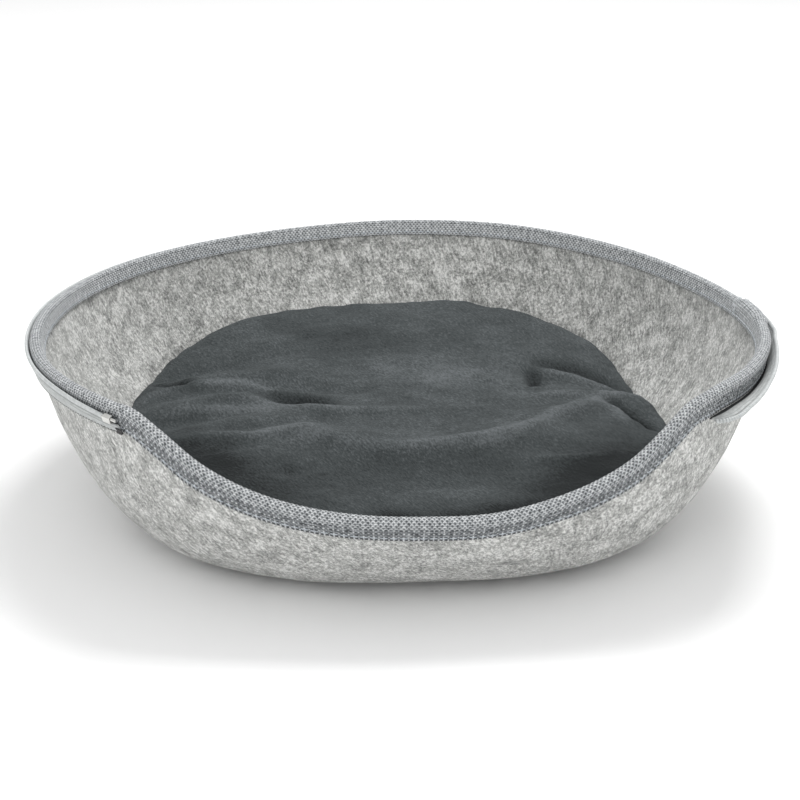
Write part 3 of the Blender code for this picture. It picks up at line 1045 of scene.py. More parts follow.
# ---- the bowl's form --------------------------------------------------------
@dataclass
class BowlForm:
    """Sizes of the moulded bowl, from which every piece takes its place."""

    rim_half_width: float = 223.4 * MM
    rim_half_depth: float = 245.7 * MM
    full_height: float = 107.0 * MM
    base_half_width: float = 125.6 * MM
    base_half_depth: float = 138.2 * MM
    base_squareness: float = 3.0
    corner_reach: float = 68.0 * MM
    oval_turn: float = 1.74
    felt: float = 4.0 * MM
    middle: tuple[float, float] = (-1.2398 * MM, -10.9318 * MM)
    edge: tuple[At, ...] = (
        At(-180.0, 106.0), At(-160.0, 104.0), At(-130.0, 104.4), At(-100.0, 105.9),
        At(-70.0, 108.0), At(-50.0, 111.6), At(-42.0, 112.2), At(-37.5, 111.8),
        At(-33.0, 103.8), At(-27.0, 88.5), At(-22.0, 79.4), At(-16.0, 72.0),
        At(-8.0, 66.5), At(4.0, 64.2), At(13.0, 64.4), At(22.0, 71.3), At(28.0, 78.4),
        At(33.0, 87.1), At(37.5, 99.3), At(42.0, 110.6), At(47.0, 113.4), At(60.0, 111.8),
        At(75.0, 109.8), At(90.0, 107.0), At(105.0, 104.2), At(120.0, 103.4),
        At(140.0, 105.2), At(160.0, 107.0), At(180.0, 106.0),
    )
    wall_samples: int = 160
    run_samples: int = 4000

    def oval_radius(self, bearing: Array, half_width: float, half_depth: float,
                    squareness: float) -> Array:
        """Distance from the middle to a superellipse.

        Args:
            bearing: where, in degrees.
            half_width: its half size from side to side.
            half_depth: its half size from front to back.
            squareness: its power; 2 makes an ellipse.

        Returns:
            The distance at each bearing.
        """
        angle = np.radians(bearing - self.oval_turn)
        across = np.abs(np.sin(angle)) / half_width
        along = np.abs(np.cos(angle)) / half_depth
        return (across**squareness + along**squareness) ** (-1.0 / squareness)

    def wall_point(self, bearing: Array, t: Array) -> Array:
        """Points of the felt's outer face.

        Args:
            bearing: where, in degrees.
            t: how far up, 0 at the flat bottom and 1 at full height.

        Returns:
            One point for each bearing and t.
        """
        bearing, t = np.broadcast_arrays(bearing, t)
        base = self.oval_radius(bearing, self.base_half_width, self.base_half_depth,
                                self.base_squareness)
        rim = self.oval_radius(bearing, self.rim_half_width, self.rim_half_depth, 2.0)
        radius = (1 - t) ** 2 * base + 2 * (1 - t) * t * (base + self.corner_reach) + t**2 * rim
        point = outward(bearing) * radius[..., None]
        point[..., :2] += self.middle
        point[..., 2] = t**2 * self.full_height
        return point

    def wall_frame(self, bearing: Array, t: Array) -> tuple[Array, Array, Array]:
        """Points of the outer face and how it faces there.

        Args:
            bearing: where, in degrees.
            t: how far up, 0 at the flat bottom and 1 at full height.

        Returns:
            The points, the unit directions up the wall, and those out from it.
        """
        turn_step, t_step = 0.05, 0.0005
        along = self.wall_point(bearing + turn_step, t) - self.wall_point(bearing - turn_step, t)
        lower = self.wall_point(bearing, np.maximum(t - t_step, 0.0))
        up = self.wall_point(bearing, t + t_step) - lower
        return self.wall_point(bearing, t), unit(up), unit(np.cross(along, up))

    def edge_height(self, bearing: Array) -> Array:
        """Height of the felt's cut edge."""
        return smooth_table(self.edge, (bearing + 180.0) % 360.0 - 180.0) * MM

    def edge_stretch(self, bearing: Array) -> Array:
        """How much longer a width across the sloping edge is when measured up the wall.

        Args:
            bearing: where, in degrees.

        Returns:
            The factor, 1 where the edge is level.
        """
        step = 0.5
        rise = self.edge_height(bearing + step) - self.edge_height(bearing - step)
        run = math.radians(2 * step) * self.rim_half_width
        return np.sqrt(1 + (rise / run) ** 2)

    def t_below_edge(self, bearings: Array, drops: Array) -> Array:
        """How far up the wall the points at given drops are.

        Args:
            bearings: one a row.
            drops: distances down the wall from the cut edge, a row for each bearing.

        Returns:
            The t of each.
        """
        grid = np.linspace(0.0, 1.1, self.wall_samples)
        lines = self.wall_point(bearings[:, None], grid[None, :])
        length = lengths_along(lines)
        edges = self.edge_height(bearings)
        out = np.empty(drops.shape)
        for k in range(len(bearings)):
            at_edge = np.interp(edges[k], lines[k, :, 2], length[k])
            out[k] = np.interp(at_edge - drops[k], length[k], grid)
        return out

    def beside_wall(self, bearings: Array, drops: Array, offsets: Array) -> Array:
        """Points at drops and offsets from the felt's edge and outer face.

        Args:
            bearings: one a row.
            drops: distances down the wall from the edge, negative above it.
            offsets: distances out from the outer face, negative inwards.

        Returns:
            Points as (bearing, place, xyz).
        """
        t = self.t_below_edge(bearings, np.maximum(drops, 0.0))
        point, up, out = self.wall_frame(bearings[:, None], t)
        return point + up * np.maximum(-drops, 0.0)[..., None] + out * offsets[..., None]

    def even_bearings(self, first: float, last: float, step: float) -> tuple[Array, Array]:
        """Bearings an even distance apart along the cut edge.

        Args:
            first: where the run starts, in degrees.
            last: where it ends.
            step: the distance between them, in metres.

        Returns:
            The bearings, and their distances along the run.
        """
        dense = np.linspace(first, last, self.run_samples)
        level = np.zeros((len(dense), 1))
        length = lengths_along(self.beside_wall(dense, level, level)[None, :, 0])[0]
        run = np.linspace(0.0, length[-1], int(round(length[-1] / step)) + 1)
        return np.interp(run, length, dense), run


# ---- felt shell -------------------------------------------------------------
@dataclass
class FeltShell:
    """The moulded bowl: one thick felt, uneven as pressed wool is."""

    form: BowlForm
    stations: int = 480
    wall_rows: int = 56
    row_spread: float = 0.85
    base_rings: tuple[float, ...] = (0.15, 0.35, 0.55, 0.75, 0.9)
    swell: Waves = Waves(0.35 * MM, 0.055, 11, 14)
    pebble: Waves = Waves(0.16 * MM, 0.013, 12, 24)
    uneven_inside: float = 0.6
    edge_fade: tuple[float, float] = (0.0, 0.03)
    foot_fade: tuple[float, float] = (0.02, 0.2)
    covered: float = 12.5 * MM
    map_radius: float = 0.2
    flat_width: float = 0.545
    flat_length: float = 0.585
    flat_area: float = 0.245

    def base(self, ring: Array, shares: Sequence[float]) -> list[Array]:
        """Rings of the flat bottom.

        Args:
            ring: the bottom's edge.
            shares: how far out each ring lies, as a share of the way to the edge.

        Returns:
            The rings.
        """
        middle = ring.mean(0)
        return [middle + (ring - middle) * share for share in shares]

    def build(self) -> bpy.types.Object:
        """Make the bowl's mesh, both faces and the cut edge."""
        form = self.form
        bearings = np.linspace(-180.0, 180.0, self.stations, endpoint=False)
        top = form.t_below_edge(bearings, np.zeros((self.stations, 1)))
        t = top * np.linspace(0.0, 1.0, self.wall_rows) ** self.row_spread
        point, _, out = form.wall_frame(bearings[:, None], t)
        leg = form.t_below_edge(bearings, self.covered * form.edge_stretch(bearings)[:, None])
        bare = np.where(t > leg, 0.0, smooth_step(leg - t, *self.edge_fade))
        bare *= smooth_step(t, *self.foot_fade)
        uneven = (soft_waves(point, self.swell) + soft_waves(point, self.pebble)) * bare
        uneven = uneven[..., None]
        outer = point + out * uneven
        inner = point - out * (form.felt + uneven * self.uneven_inside)
        rings = np.array([*self.base(outer[:, 0], self.base_rings),
                          *outer.swapaxes(0, 1), *inner.swapaxes(0, 1)[::-1],
                          *self.base(inner[:, 0], self.base_rings[::-1])])
        mesh = swept_mesh("felt_bowl", rings, End.FAN)
        up = lengths_along(rings.swapaxes(0, 1)).mean(0)
        around = np.radians(bearings) * self.map_radius
        u = np.concatenate([np.tile(around, len(rings)), [0.0, 0.0]])
        v = np.concatenate([np.repeat(up, self.stations), [0.0, up[-1]]])
        add_uv(mesh, u, v, 2 * math.pi * self.map_radius)
        return make_object("felt_bowl", mesh)

    def dress(self) -> None:
        item = finished(self.build(), FeltFinish().material("felt"), "felt_shell")


# ---- rim binding ------------------------------------------------------------
class Section(NamedTuple):
    """The folded webbing's outer face, each as (station, place across).

    Its drops and offsets, the drop and offset of a unit step off it, and the
    distance across.
    """

    drop: Array
    off: Array
    side_drop: Array
    side_off: Array
    place: Array


@dataclass
class RimBinding:
    """Coarse webbing folded over the felt's edge, its two ends lapped at the right."""

    form: BowlForm
    weave: Weave = Weave()
    tape: float = 1.3 * MM
    seat: float = 0.3 * MM
    leg_out: float = 11.8 * MM
    leg_in: float = 9.0 * MM
    roll_height: float = 2.1 * MM
    roll_foot: float = 0.5 * MM
    lap_lift: float = 2.4 * MM
    lap_lift_inside: float = 0.9 * MM
    steps_a_beat: int = 8
    across: int = 41
    relief: float = 0.55 * MM
    relief_level: float = 0.70
    underside_map: float = 29.5 * MM
    flat_width: float = 0.030
    lap: tuple[At, ...] = (At(87.0, 0.0), At(89.0, 0.75), At(93.0, 1.0), At(99.7, 1.0),
                           At(100.1, 0.0))
    lap_end: float = 100.0
    stitch_in: tuple[float, float] = (2.3 * MM, 1.9 * MM)
    stitch_off: float = 0.15 * MM
    fray_count: int = 46
    fray_seed: int = 5
    sewing_thread: ThreadFinish = ThreadFinish((0.30, 0.33, 0.36), (0.58, 0.62, 0.66))
    fray_thread: ThreadFinish = ThreadFinish((0.42, 0.45, 0.47), (0.68, 0.70, 0.72))

    def lift(self, bearings: Array) -> Array:
        """How far the lap stands off at each station."""
        return self.lap_lift * straight_table(self.lap, bearings)

    def section(self, lift: Array) -> Section:
        """The fold's outer face, evenly cut across, for each station's lift.

        Args:
            lift: how far the lap stands off at each station.

        Returns:
            The section.
        """
        felt, face = self.form.felt, self.seat + self.tape
        lift = lift[:, None]
        lift_inside = lift * self.lap_lift_inside / self.lap_lift
        turn = np.radians(np.linspace(0.0, 180.0, 60))[None, :]
        roll_drop = (-(self.roll_height + lift) * np.sin(turn)
                     + self.roll_foot * (1 - np.sin(turn)))
        roll_lift = np.where(np.cos(turn) < 0, lift_inside, lift)
        roll_off = -0.5 * felt + (0.5 * felt + face + roll_lift) * np.cos(turn)
        outer = np.linspace(self.leg_out, self.roll_foot, 30)[None, :-1] + 0 * lift
        inner = np.linspace(self.roll_foot, self.leg_in, 30)[None, 1:] + 0 * lift
        drop = np.concatenate([outer, roll_drop, inner], 1)
        off = np.concatenate([0 * outer + face + lift, roll_off,
                              0 * inner - felt - face - lift_inside], 1)
        length = lengths_along(np.stack([drop, off], -1))
        place = np.linspace(0.0, 1.0, self.across) * length[:, -1:]
        drop = np.array([np.interp(*row) for row in zip(place, length, drop)])
        off = np.array([np.interp(*row) for row in zip(place, length, off)])
        step_drop, step_off = np.gradient(drop, axis=1), np.gradient(off, axis=1)
        size = np.maximum(np.hypot(step_drop, step_off), 1e-9)
        return Section(drop, off, step_off / size, -step_drop / size, place)

    def thread_height(self, beats: Array, row: Array) -> Array:
        """Height of the threads from 0 in the gaps to 1, over the webbing.

        Args:
            beats: distance along the webbing, in repeats of its weave.
            row: distance across it, in rows of threads.

        Returns:
            The height at each point.
        """
        beads = np.cos(4 * math.pi * beats) * np.cos(math.pi * row)
        columns = np.cos(2 * math.pi * beats)
        outer = 0.5 + 0.28 * beads + 0.12 * columns + 0.10 * np.cos(2 * math.pi * row)
        roll = 0.62 + 0.30 * beads + 0.08 * columns
        inner = 0.66 + 0.20 * beads
        low, high = self.weave.roll_rows
        height = outer + (roll - outer) * smooth_step(row, low - 0.5, low + 0.5)
        return height + (inner - height) * smooth_step(row, high - 0.5, high + 0.5)

    def build(self) -> tuple[bpy.types.Object, float]:
        """Make the folded webbing with its threads raised.

        Returns:
            The webbing, and its length.
        """
        form, beat = self.form, self.weave.beat
        _, run = form.even_bearings(-180.0, 180.0, beat / self.steps_a_beat)
        repeats = round(run[-1] / beat)
        bearings, run = form.even_bearings(-180.0, 180.0, run[-1] / (repeats * self.steps_a_beat))
        length = run[-1]
        bearings, run = bearings[:-1], run[:-1]
        cut = self.section(self.lift(bearings))
        beats = (run / length * repeats)[:, None] + 0 * cut.place
        row = 0.5 * np.arange(self.across) + 0 * cut.place
        raised = (self.thread_height(beats, row) - self.relief_level) * self.relief
        under_off = -form.felt - self.seat
        under = np.tile([(self.leg_in, under_off), (-self.seat, under_off),
                         (-self.seat, self.seat), (self.leg_out, self.seat)],
                        (len(bearings), 1, 1))
        drop = np.concatenate([cut.drop + cut.side_drop * raised, under[..., 0]], 1)
        off = np.concatenate([cut.off + cut.side_off * raised, under[..., 1]], 1)
        stretch = form.edge_stretch(bearings)[:, None]
        rings = form.beside_wall(bearings, np.where(drop > 0, drop * stretch, drop), off)
        mesh = swept_mesh("rim_webbing", rings, End.JOINED)
        v = np.concatenate([row * self.weave.row_pitch,
                            np.full(under.shape[:2], self.underside_map)], 1)
        u = beats[:, :1] * beat + 0 * v
        add_uv(mesh, u.ravel(), v.ravel(), repeats * beat)
        LOG.info("webbing: %d stations, %d repeats, %.3f m long", len(bearings), repeats, length)
        return make_object("rim_webbing", mesh), length

    def stitches(self) -> bpy.types.Object:
        """The two rows of long stitches that hold the webbing's legs to the felt."""
        form = self.form
        bearings = form.even_bearings(-180.0, 180.0, self.weave.beat)[0][:-1]
        lift = self.lift(bearings)
        stretch = form.edge_stretch(bearings)
        face = self.seat + self.tape + self.stitch_off
        inside = -form.felt - face - lift * self.lap_lift_inside / self.lap_lift
        places = []
        for drop, off, sign in ((self.leg_out - self.stitch_in[0], face + lift, 1.0),
                                (self.leg_in - self.stitch_in[1], inside, -1.0)):
            drops = np.stack([drop * stretch, (drop - MM) * stretch], -1)
            pair = form.beside_wall(bearings, drops, np.stack([off, off], -1))
            line, higher = pair[:, 0], pair[:, 1]
            along = np.roll(line, -1, 0) - np.roll(line, 1, 0)
            places.append(framed(line, along, (higher - line) * sign))
        thread = stitch(radius=0.36 * MM, length=4.1 * MM, dip=0.5 * MM, narrowing=0.35)
        return copied_along("webbing_stitches", thread, np.concatenate(places))

    def fray(self) -> bpy.types.Object:
        """Loose thread ends along the lap's cut end."""
        form, count = self.form, self.fray_count
        rng = np.random.default_rng(self.fray_seed)
        bearing = self.lap_end + rng.uniform(-0.12, 0.05, count)
        pick = rng.integers(3, self.across - 3, count)
        cut = self.section(np.full(count, self.lap_lift))
        drop, off, side_drop, side_off, _ = (part[np.arange(count), pick][:, None] for part in cut)
        origin = form.beside_wall(bearing, drop, off - side_off * 0.5 * MM)[:, 0]
        ahead = form.beside_wall(bearing + 0.5, drop, off)[:, 0]
        off_face = form.beside_wall(bearing, drop + side_drop * MM,
                                    off + side_off * MM)[:, 0] - origin
        along = unit(ahead - origin) + unit(off_face) * rng.uniform(-0.1, 0.7, count)[:, None]
        along += rng.normal(size=(count, 3)) * 0.22
        places = framed(origin, along, off_face)
        places[:, :3, 0] *= rng.uniform(0.5, 1.25, count)[:, None]
        clear_selection()
        bpy.ops.mesh.primitive_cone_add(vertices=5, radius1=0.22 * MM, radius2=0.08 * MM,
                                        depth=3.6 * MM, rotation=ALONG_X,
                                        location=(1.6 * MM, 0.0, 0.0))
        bpy.ops.object.transform_apply(location=True, rotation=True, scale=False)
        thread = bpy.context.active_object
        with edit_mode():
            bpy.ops.mesh.subdivide(number_cuts=2)
        curl = 60.0
        for vert in thread.data.vertices:
            vert.co.z += curl * max(vert.co.x, 0.0) ** 2
        return copied_along("lap_fray", thread, places)

    def dress(self) -> None:
        webbing, length = self.build()
        finished(webbing, WebbingFinish(self.weave).material("binding"),
                 "rim_binding")
        sewing = finished(self.stitches(), self.sewing_thread.material("webbing_thread"))
        fray = finished(self.fray(), self.fray_thread.material("fray_thread"))


# ---- zip --------------------------------------------------------------------
class TapeLine(NamedTuple):
    """The tape's root, bend and free edge at each station, its run up and its facing.

    Each is (station, drop and offset).
    """

    root: Array
    bend: Array
    free: Array
    run: Array
    face: Array


@dataclass
class HalfZip:
    """One half of an open-ended zip, sewn along the binding's lower edge."""

    form: BowlForm
    binding: RimBinding
    first: float = 46.5
    last: float = 321.0
    web: float = 0.9 * MM
    web_width: float = 9.7 * MM
    web_root: float = 1.2 * MM
    web_bend: float = 0.5 * MM
    web_step: float = 2.0 * MM
    bend_rows: int = 7
    web_rows: int = 30
    bend_share: float = 0.12
    bend_pull: float = 0.15
    cord_height: float = 0.38 * MM
    cord_fade: tuple[float, float] = (3.0 * MM, 6.0 * MM)
    cords: tuple[CordLine, ...] = (CordLine(0.9, 0.45, 1.0), CordLine(2.3, 0.4, 0.8))
    map_width: float = 12.0 * MM
    flat_width: float = 0.014
    coil_width: float = 3.2 * MM
    coil_thickness: float = 2.2 * MM
    turn_pitch: float = 1.5 * MM
    pin_length: float = 11.0 * MM
    pin_width: float = 4.2 * MM
    pin_thickness: float = 3.4 * MM
    pin_out: float = 0.4 * MM
    pin_gap: float = 0.6 * MM
    box_length: float = 6.4 * MM
    box_back: float = 2.2 * MM
    stitch_pitch: float = 3.1 * MM
    stitch_up: float = 1.1 * MM
    stitch_off: float = 0.05 * MM
    tack_up: float = 2.3 * MM
    tack_out: float = 0.75 * MM
    tack_turns: int = 11
    tack_reach: tuple[float, float] = (-0.45, 0.5)
    thread: ThreadFinish = ThreadFinish((0.40, 0.42, 0.41), (0.60, 0.62, 0.61))
    # near-black: painted shade for the dark hollow past the metal end
    painted_shade_tack_thread: ThreadFinish = ThreadFinish((0.012, 0.012, 0.012), (0.04, 0.04, 0.04))
    lean: tuple[At, ...] = (
        At(46.5, 93.0), At(48, 88.0), At(50, 82.0), At(52, 72.0), At(54, 66.0), At(57, 57.0),
        At(60, 48.0), At(64, 39.0), At(68, 30.0), At(72, 21.0), At(76, 15.0), At(80, 12.0),
        At(85, 8.0), At(95, 7.0), At(130, 7.0), At(180, 6.0), At(240, 6.0), At(275, 6.0),
        At(300, 6.5), At(312, 8.5), At(321, 10.0),
    )
    web_share: tuple[At, ...] = (
        At(46.5, 0.18), At(47.5, 0.5), At(49, 0.78), At(52, 0.95), At(56, 1.0), At(62, 1.0),
        At(180, 1.0), At(290, 0.99), At(302, 0.91), At(312, 0.74), At(317, 0.64), At(321, 0.52),
    )
    over_lap: tuple[At, ...] = (At(81.0, 0.0), At(86.0, 1.0), At(101.5, 1.0), At(107.0, 0.0))

    def line(self, bearings: Array) -> TapeLine:
        """Where the tape runs.

        Args:
            bearings: the stations.

        Returns:
            The tape's line there.
        """
        leg = self.binding.leg_out * self.form.edge_stretch(bearings)
        lean = np.radians(smooth_table(self.lean, bearings))
        lift = self.binding.lap_lift * straight_table(self.over_lap, bearings)
        seat, half = self.binding.seat, 0.5 * self.web
        root = np.stack([leg + self.web_root, 0 * leg + seat + half], -1)
        bend = np.stack([leg + self.web_bend, seat + self.binding.tape + seat + half + lift], -1)
        run = np.stack([-np.cos(lean), np.sin(lean)], -1)
        face = np.stack([np.sin(lean), np.cos(lean)], -1)
        reach = self.web_width * smooth_table(self.web_share, bearings)
        return TapeLine(root, bend, bend + run * reach[:, None], run, face)

    def stations(self, step: float) -> tuple[Array, Array]:
        """Bearings along the zip an even step apart, and their distances along it."""
        return self.form.even_bearings(self.first, self.last, step)

    def placed(self, bearings: Array, flat: Array) -> Array:
        """Points in space.

        Args:
            bearings: the stations.
            flat: one (drop, offset) a station, or a row of them.

        Returns:
            The points, in the same order.
        """
        if flat.ndim == 2:
            return self.placed(bearings, flat[:, None])[:, 0]
        return self.form.beside_wall(bearings, flat[..., 0], flat[..., 1])

    def laid(self, bearings: Array, flat: Array, run: Array) -> tuple[Array, Array, Array]:
        """A line of points along the tape.

        Args:
            bearings: the stations.
            flat: one (drop, offset) a station.
            run: the tape's run up there.

        Returns:
            The points, the directions along the line, and those up the tape.
        """
        line = self.placed(bearings, flat)
        return line, np.gradient(line, axis=0), self.placed(bearings, flat + run * MM) - line

    def bead(self, bearings: Array, width: float, out: float) -> tuple[Array, Array, Array]:
        """The middle line of what sits on the tape's free edge.

        Args:
            bearings: the stations.
            width: its width up the tape.
            out: how far it stands out from the tape's middle.

        Returns:
            The points, the directions along the line, and those up the tape.
        """
        tape = self.line(bearings)
        up = self.binding.seat + 0.5 * width
        return self.laid(bearings, tape.free + tape.run * up + tape.face * out, tape.run)

    def tape(self) -> tuple[bpy.types.Object, float]:
        """The woven tape: its sewn root, its bend and its web with the coil's cord lines.

        Returns:
            The tape, and its length.
        """
        bearings, length = self.stations(self.web_step)
        root, bend, free, run, face = self.line(bearings)
        reach = np.linalg.norm(free - bend, axis=1)
        corner = bend + (root - bend) * self.bend_pull
        foot = bend + run * (self.bend_share * reach)[:, None]
        rows = [(1 - s) ** 2 * root + 2 * (1 - s) * s * corner + s**2 * foot
                for s in np.linspace(0.0, 1.0, self.bend_rows)]
        rows += [bend + run * (s * reach)[:, None]
                 for s in np.linspace(self.bend_share, 1.0, self.web_rows)[1:]]
        middle = np.array(rows).transpose(1, 0, 2)
        ahead = unit(np.gradient(middle, axis=1))
        side = np.stack([ahead[..., 1], -ahead[..., 0]], -1)
        side *= np.sign((side * face[:, None]).sum(-1, keepdims=True).mean(1, keepdims=True))
        from_free = (reach[:, None] - np.linalg.norm(middle - bend[:, None], axis=2)) / MM
        ridges = sum(cord.share * np.exp(-((from_free - cord.place) / cord.width) ** 2)
                     for cord in self.cords)
        on_web = np.arange(len(rows)) > self.bend_rows
        raised = self.cord_height * ridges * on_web
        raised = raised * smooth_step(reach[:, None], *self.cord_fade)
        outer = middle + side * (0.5 * self.web + raised)[..., None]
        inner = (middle - side * 0.5 * self.web)[:, ::-3]
        section = np.concatenate([outer, inner], 1)
        mesh = swept_mesh("zip_web", self.placed(bearings, section), End.CAP)
        across = np.concatenate([np.linspace(0, self.map_width, outer.shape[1]),
                                 np.linspace(self.map_width, 0, inner.shape[1])])
        u = length[:, None] + 0 * across
        add_uv(mesh, u.ravel(), (0 * u + across).ravel())
        return make_object("zip_web", mesh), float(length[-1])

    def coil(self) -> bpy.types.Object:
        """The nylon coil, turn beside turn, drawn along the tape's free edge."""
        bearings, length = self.stations(self.turn_pitch)
        keep = length <= length[-1] - self.pin_length - self.pin_gap
        line = self.bead(bearings, self.coil_width, 0.0)
        places = framed(*(part[keep] for part in line))
        turn = rod(radius=0.5, length=1.0, sides=12)
        turn.scale = (1.02 * self.turn_pitch, self.coil_width, self.coil_thickness)
        bpy.ops.object.transform_apply(location=False, rotation=False, scale=True)
        with edit_mode():
            bpy.ops.mesh.bevel(offset=0.26 * MM, segments=1, affect="EDGES")
        return copied_along("zip_turns", turn, places)

    def tape_stitches(self) -> bpy.types.Object:
        """The fine lockstitch that sews the tape to the bowl, near its bend."""
        bearings = self.stations(self.stitch_pitch)[0][1:-1]
        tape = self.line(bearings)
        out = 0.5 * self.web + self.stitch_off
        flat = tape.bend + tape.run * self.stitch_up + tape.face * out
        places = framed(*self.laid(bearings, flat, tape.run))
        thread = stitch(radius=0.24 * MM, length=2.3 * MM, dip=0.25 * MM)
        return copied_along("zip_stitches", thread, places)

    def painted_shade_tack(self) -> bpy.types.Object:
        """A bar of near-black thread across the tape past the metal end, as painted shade for the
        dark hollow there.
        """
        low, high = self.tack_reach
        bearings = np.linspace(self.last + low, self.last + high, self.tack_turns)
        tape = self.line(np.full(self.tack_turns, self.last))
        flat = tape.bend + tape.run * self.tack_up + tape.face * self.tack_out
        line, along, up = self.laid(bearings, flat, tape.run)
        thread = stitch(radius=0.36 * MM, length=3.2 * MM, dip=0.5 * MM, cuts=2)
        return copied_along("zip_painted_shade_tack", thread, framed(line, up, along))

    def end_box(self) -> bpy.types.Object:
        """The folded metal box round the tape's end, open where its pin comes out."""
        clear_selection()
        bpy.ops.mesh.primitive_cube_add(size=1.0)
        box = bpy.context.active_object
        box.name = "zip_end_box"
        box.scale = (self.box_length, self.pin_width, self.pin_thickness)
        box.location = (-self.box_back, 0.0, 0.0)
        bpy.ops.object.transform_apply(location=True, rotation=False, scale=True)
        with edit_mode():
            bpy.ops.mesh.bevel(offset=0.55 * MM, segments=3, profile=0.6, affect="EDGES")
            bpy.ops.mesh.select_all(action="DESELECT")
        for face in box.data.polygons:
            face.select = face.normal.x > 0.99
        with edit_mode(None):
            bpy.ops.mesh.inset(thickness=0.45 * MM, depth=0.0)
            bpy.ops.mesh.inset(thickness=0.05 * MM, depth=-1.4 * MM)
        return box

    def pin(self) -> bpy.types.Object:
        """The metal end: a folded box round the tape and the pin that stands out of it."""
        bearings, length = self.stations(0.5 * MM)
        start = np.searchsorted(length, length[-1] - self.pin_length)
        centre = (start + len(bearings) - 1) // 2
        line = self.bead(bearings, self.pin_width, self.pin_out)
        place = framed(*(part[centre:centre + 1] for part in line))[0]
        box = self.end_box()
        pin = rod(radius=0.95 * MM, length=6.2 * MM, sides=16, middle=(2.2 * MM, 0.5 * MM, 0.0))
        with edit_mode():
            bpy.ops.mesh.bevel(offset=0.3 * MM, segments=2, profile=0.5, affect="EDGES",
                               clamp_overlap=True)
        select_alone(box)
        pin.select_set(True)
        bpy.ops.object.join()
        box.data.transform(Matrix(place.tolist()))
        box.data.shade_smooth()
        box.data.set_sharp_from_angle(angle=math.radians(50.0))
        return box

    def dress(self) -> None:
        web, length = self.tape()
        finished(web, ZipClothFinish().material("zip_cloth"), "zip_tape")
        coil = finished(self.coil(), ZipNylonFinish().material("zip_nylon"),
                        "zip_coil")
        sewing = finished(self.tape_stitches(), self.thread.material("zip_thread"))
        pin = finished(self.pin(), ZipMetalFinish().material("zip_metal"),
                       "zip_pin")
        tack = finished(self.painted_shade_tack(), self.painted_shade_tack_thread.material("painted_shade_tack_thread"))


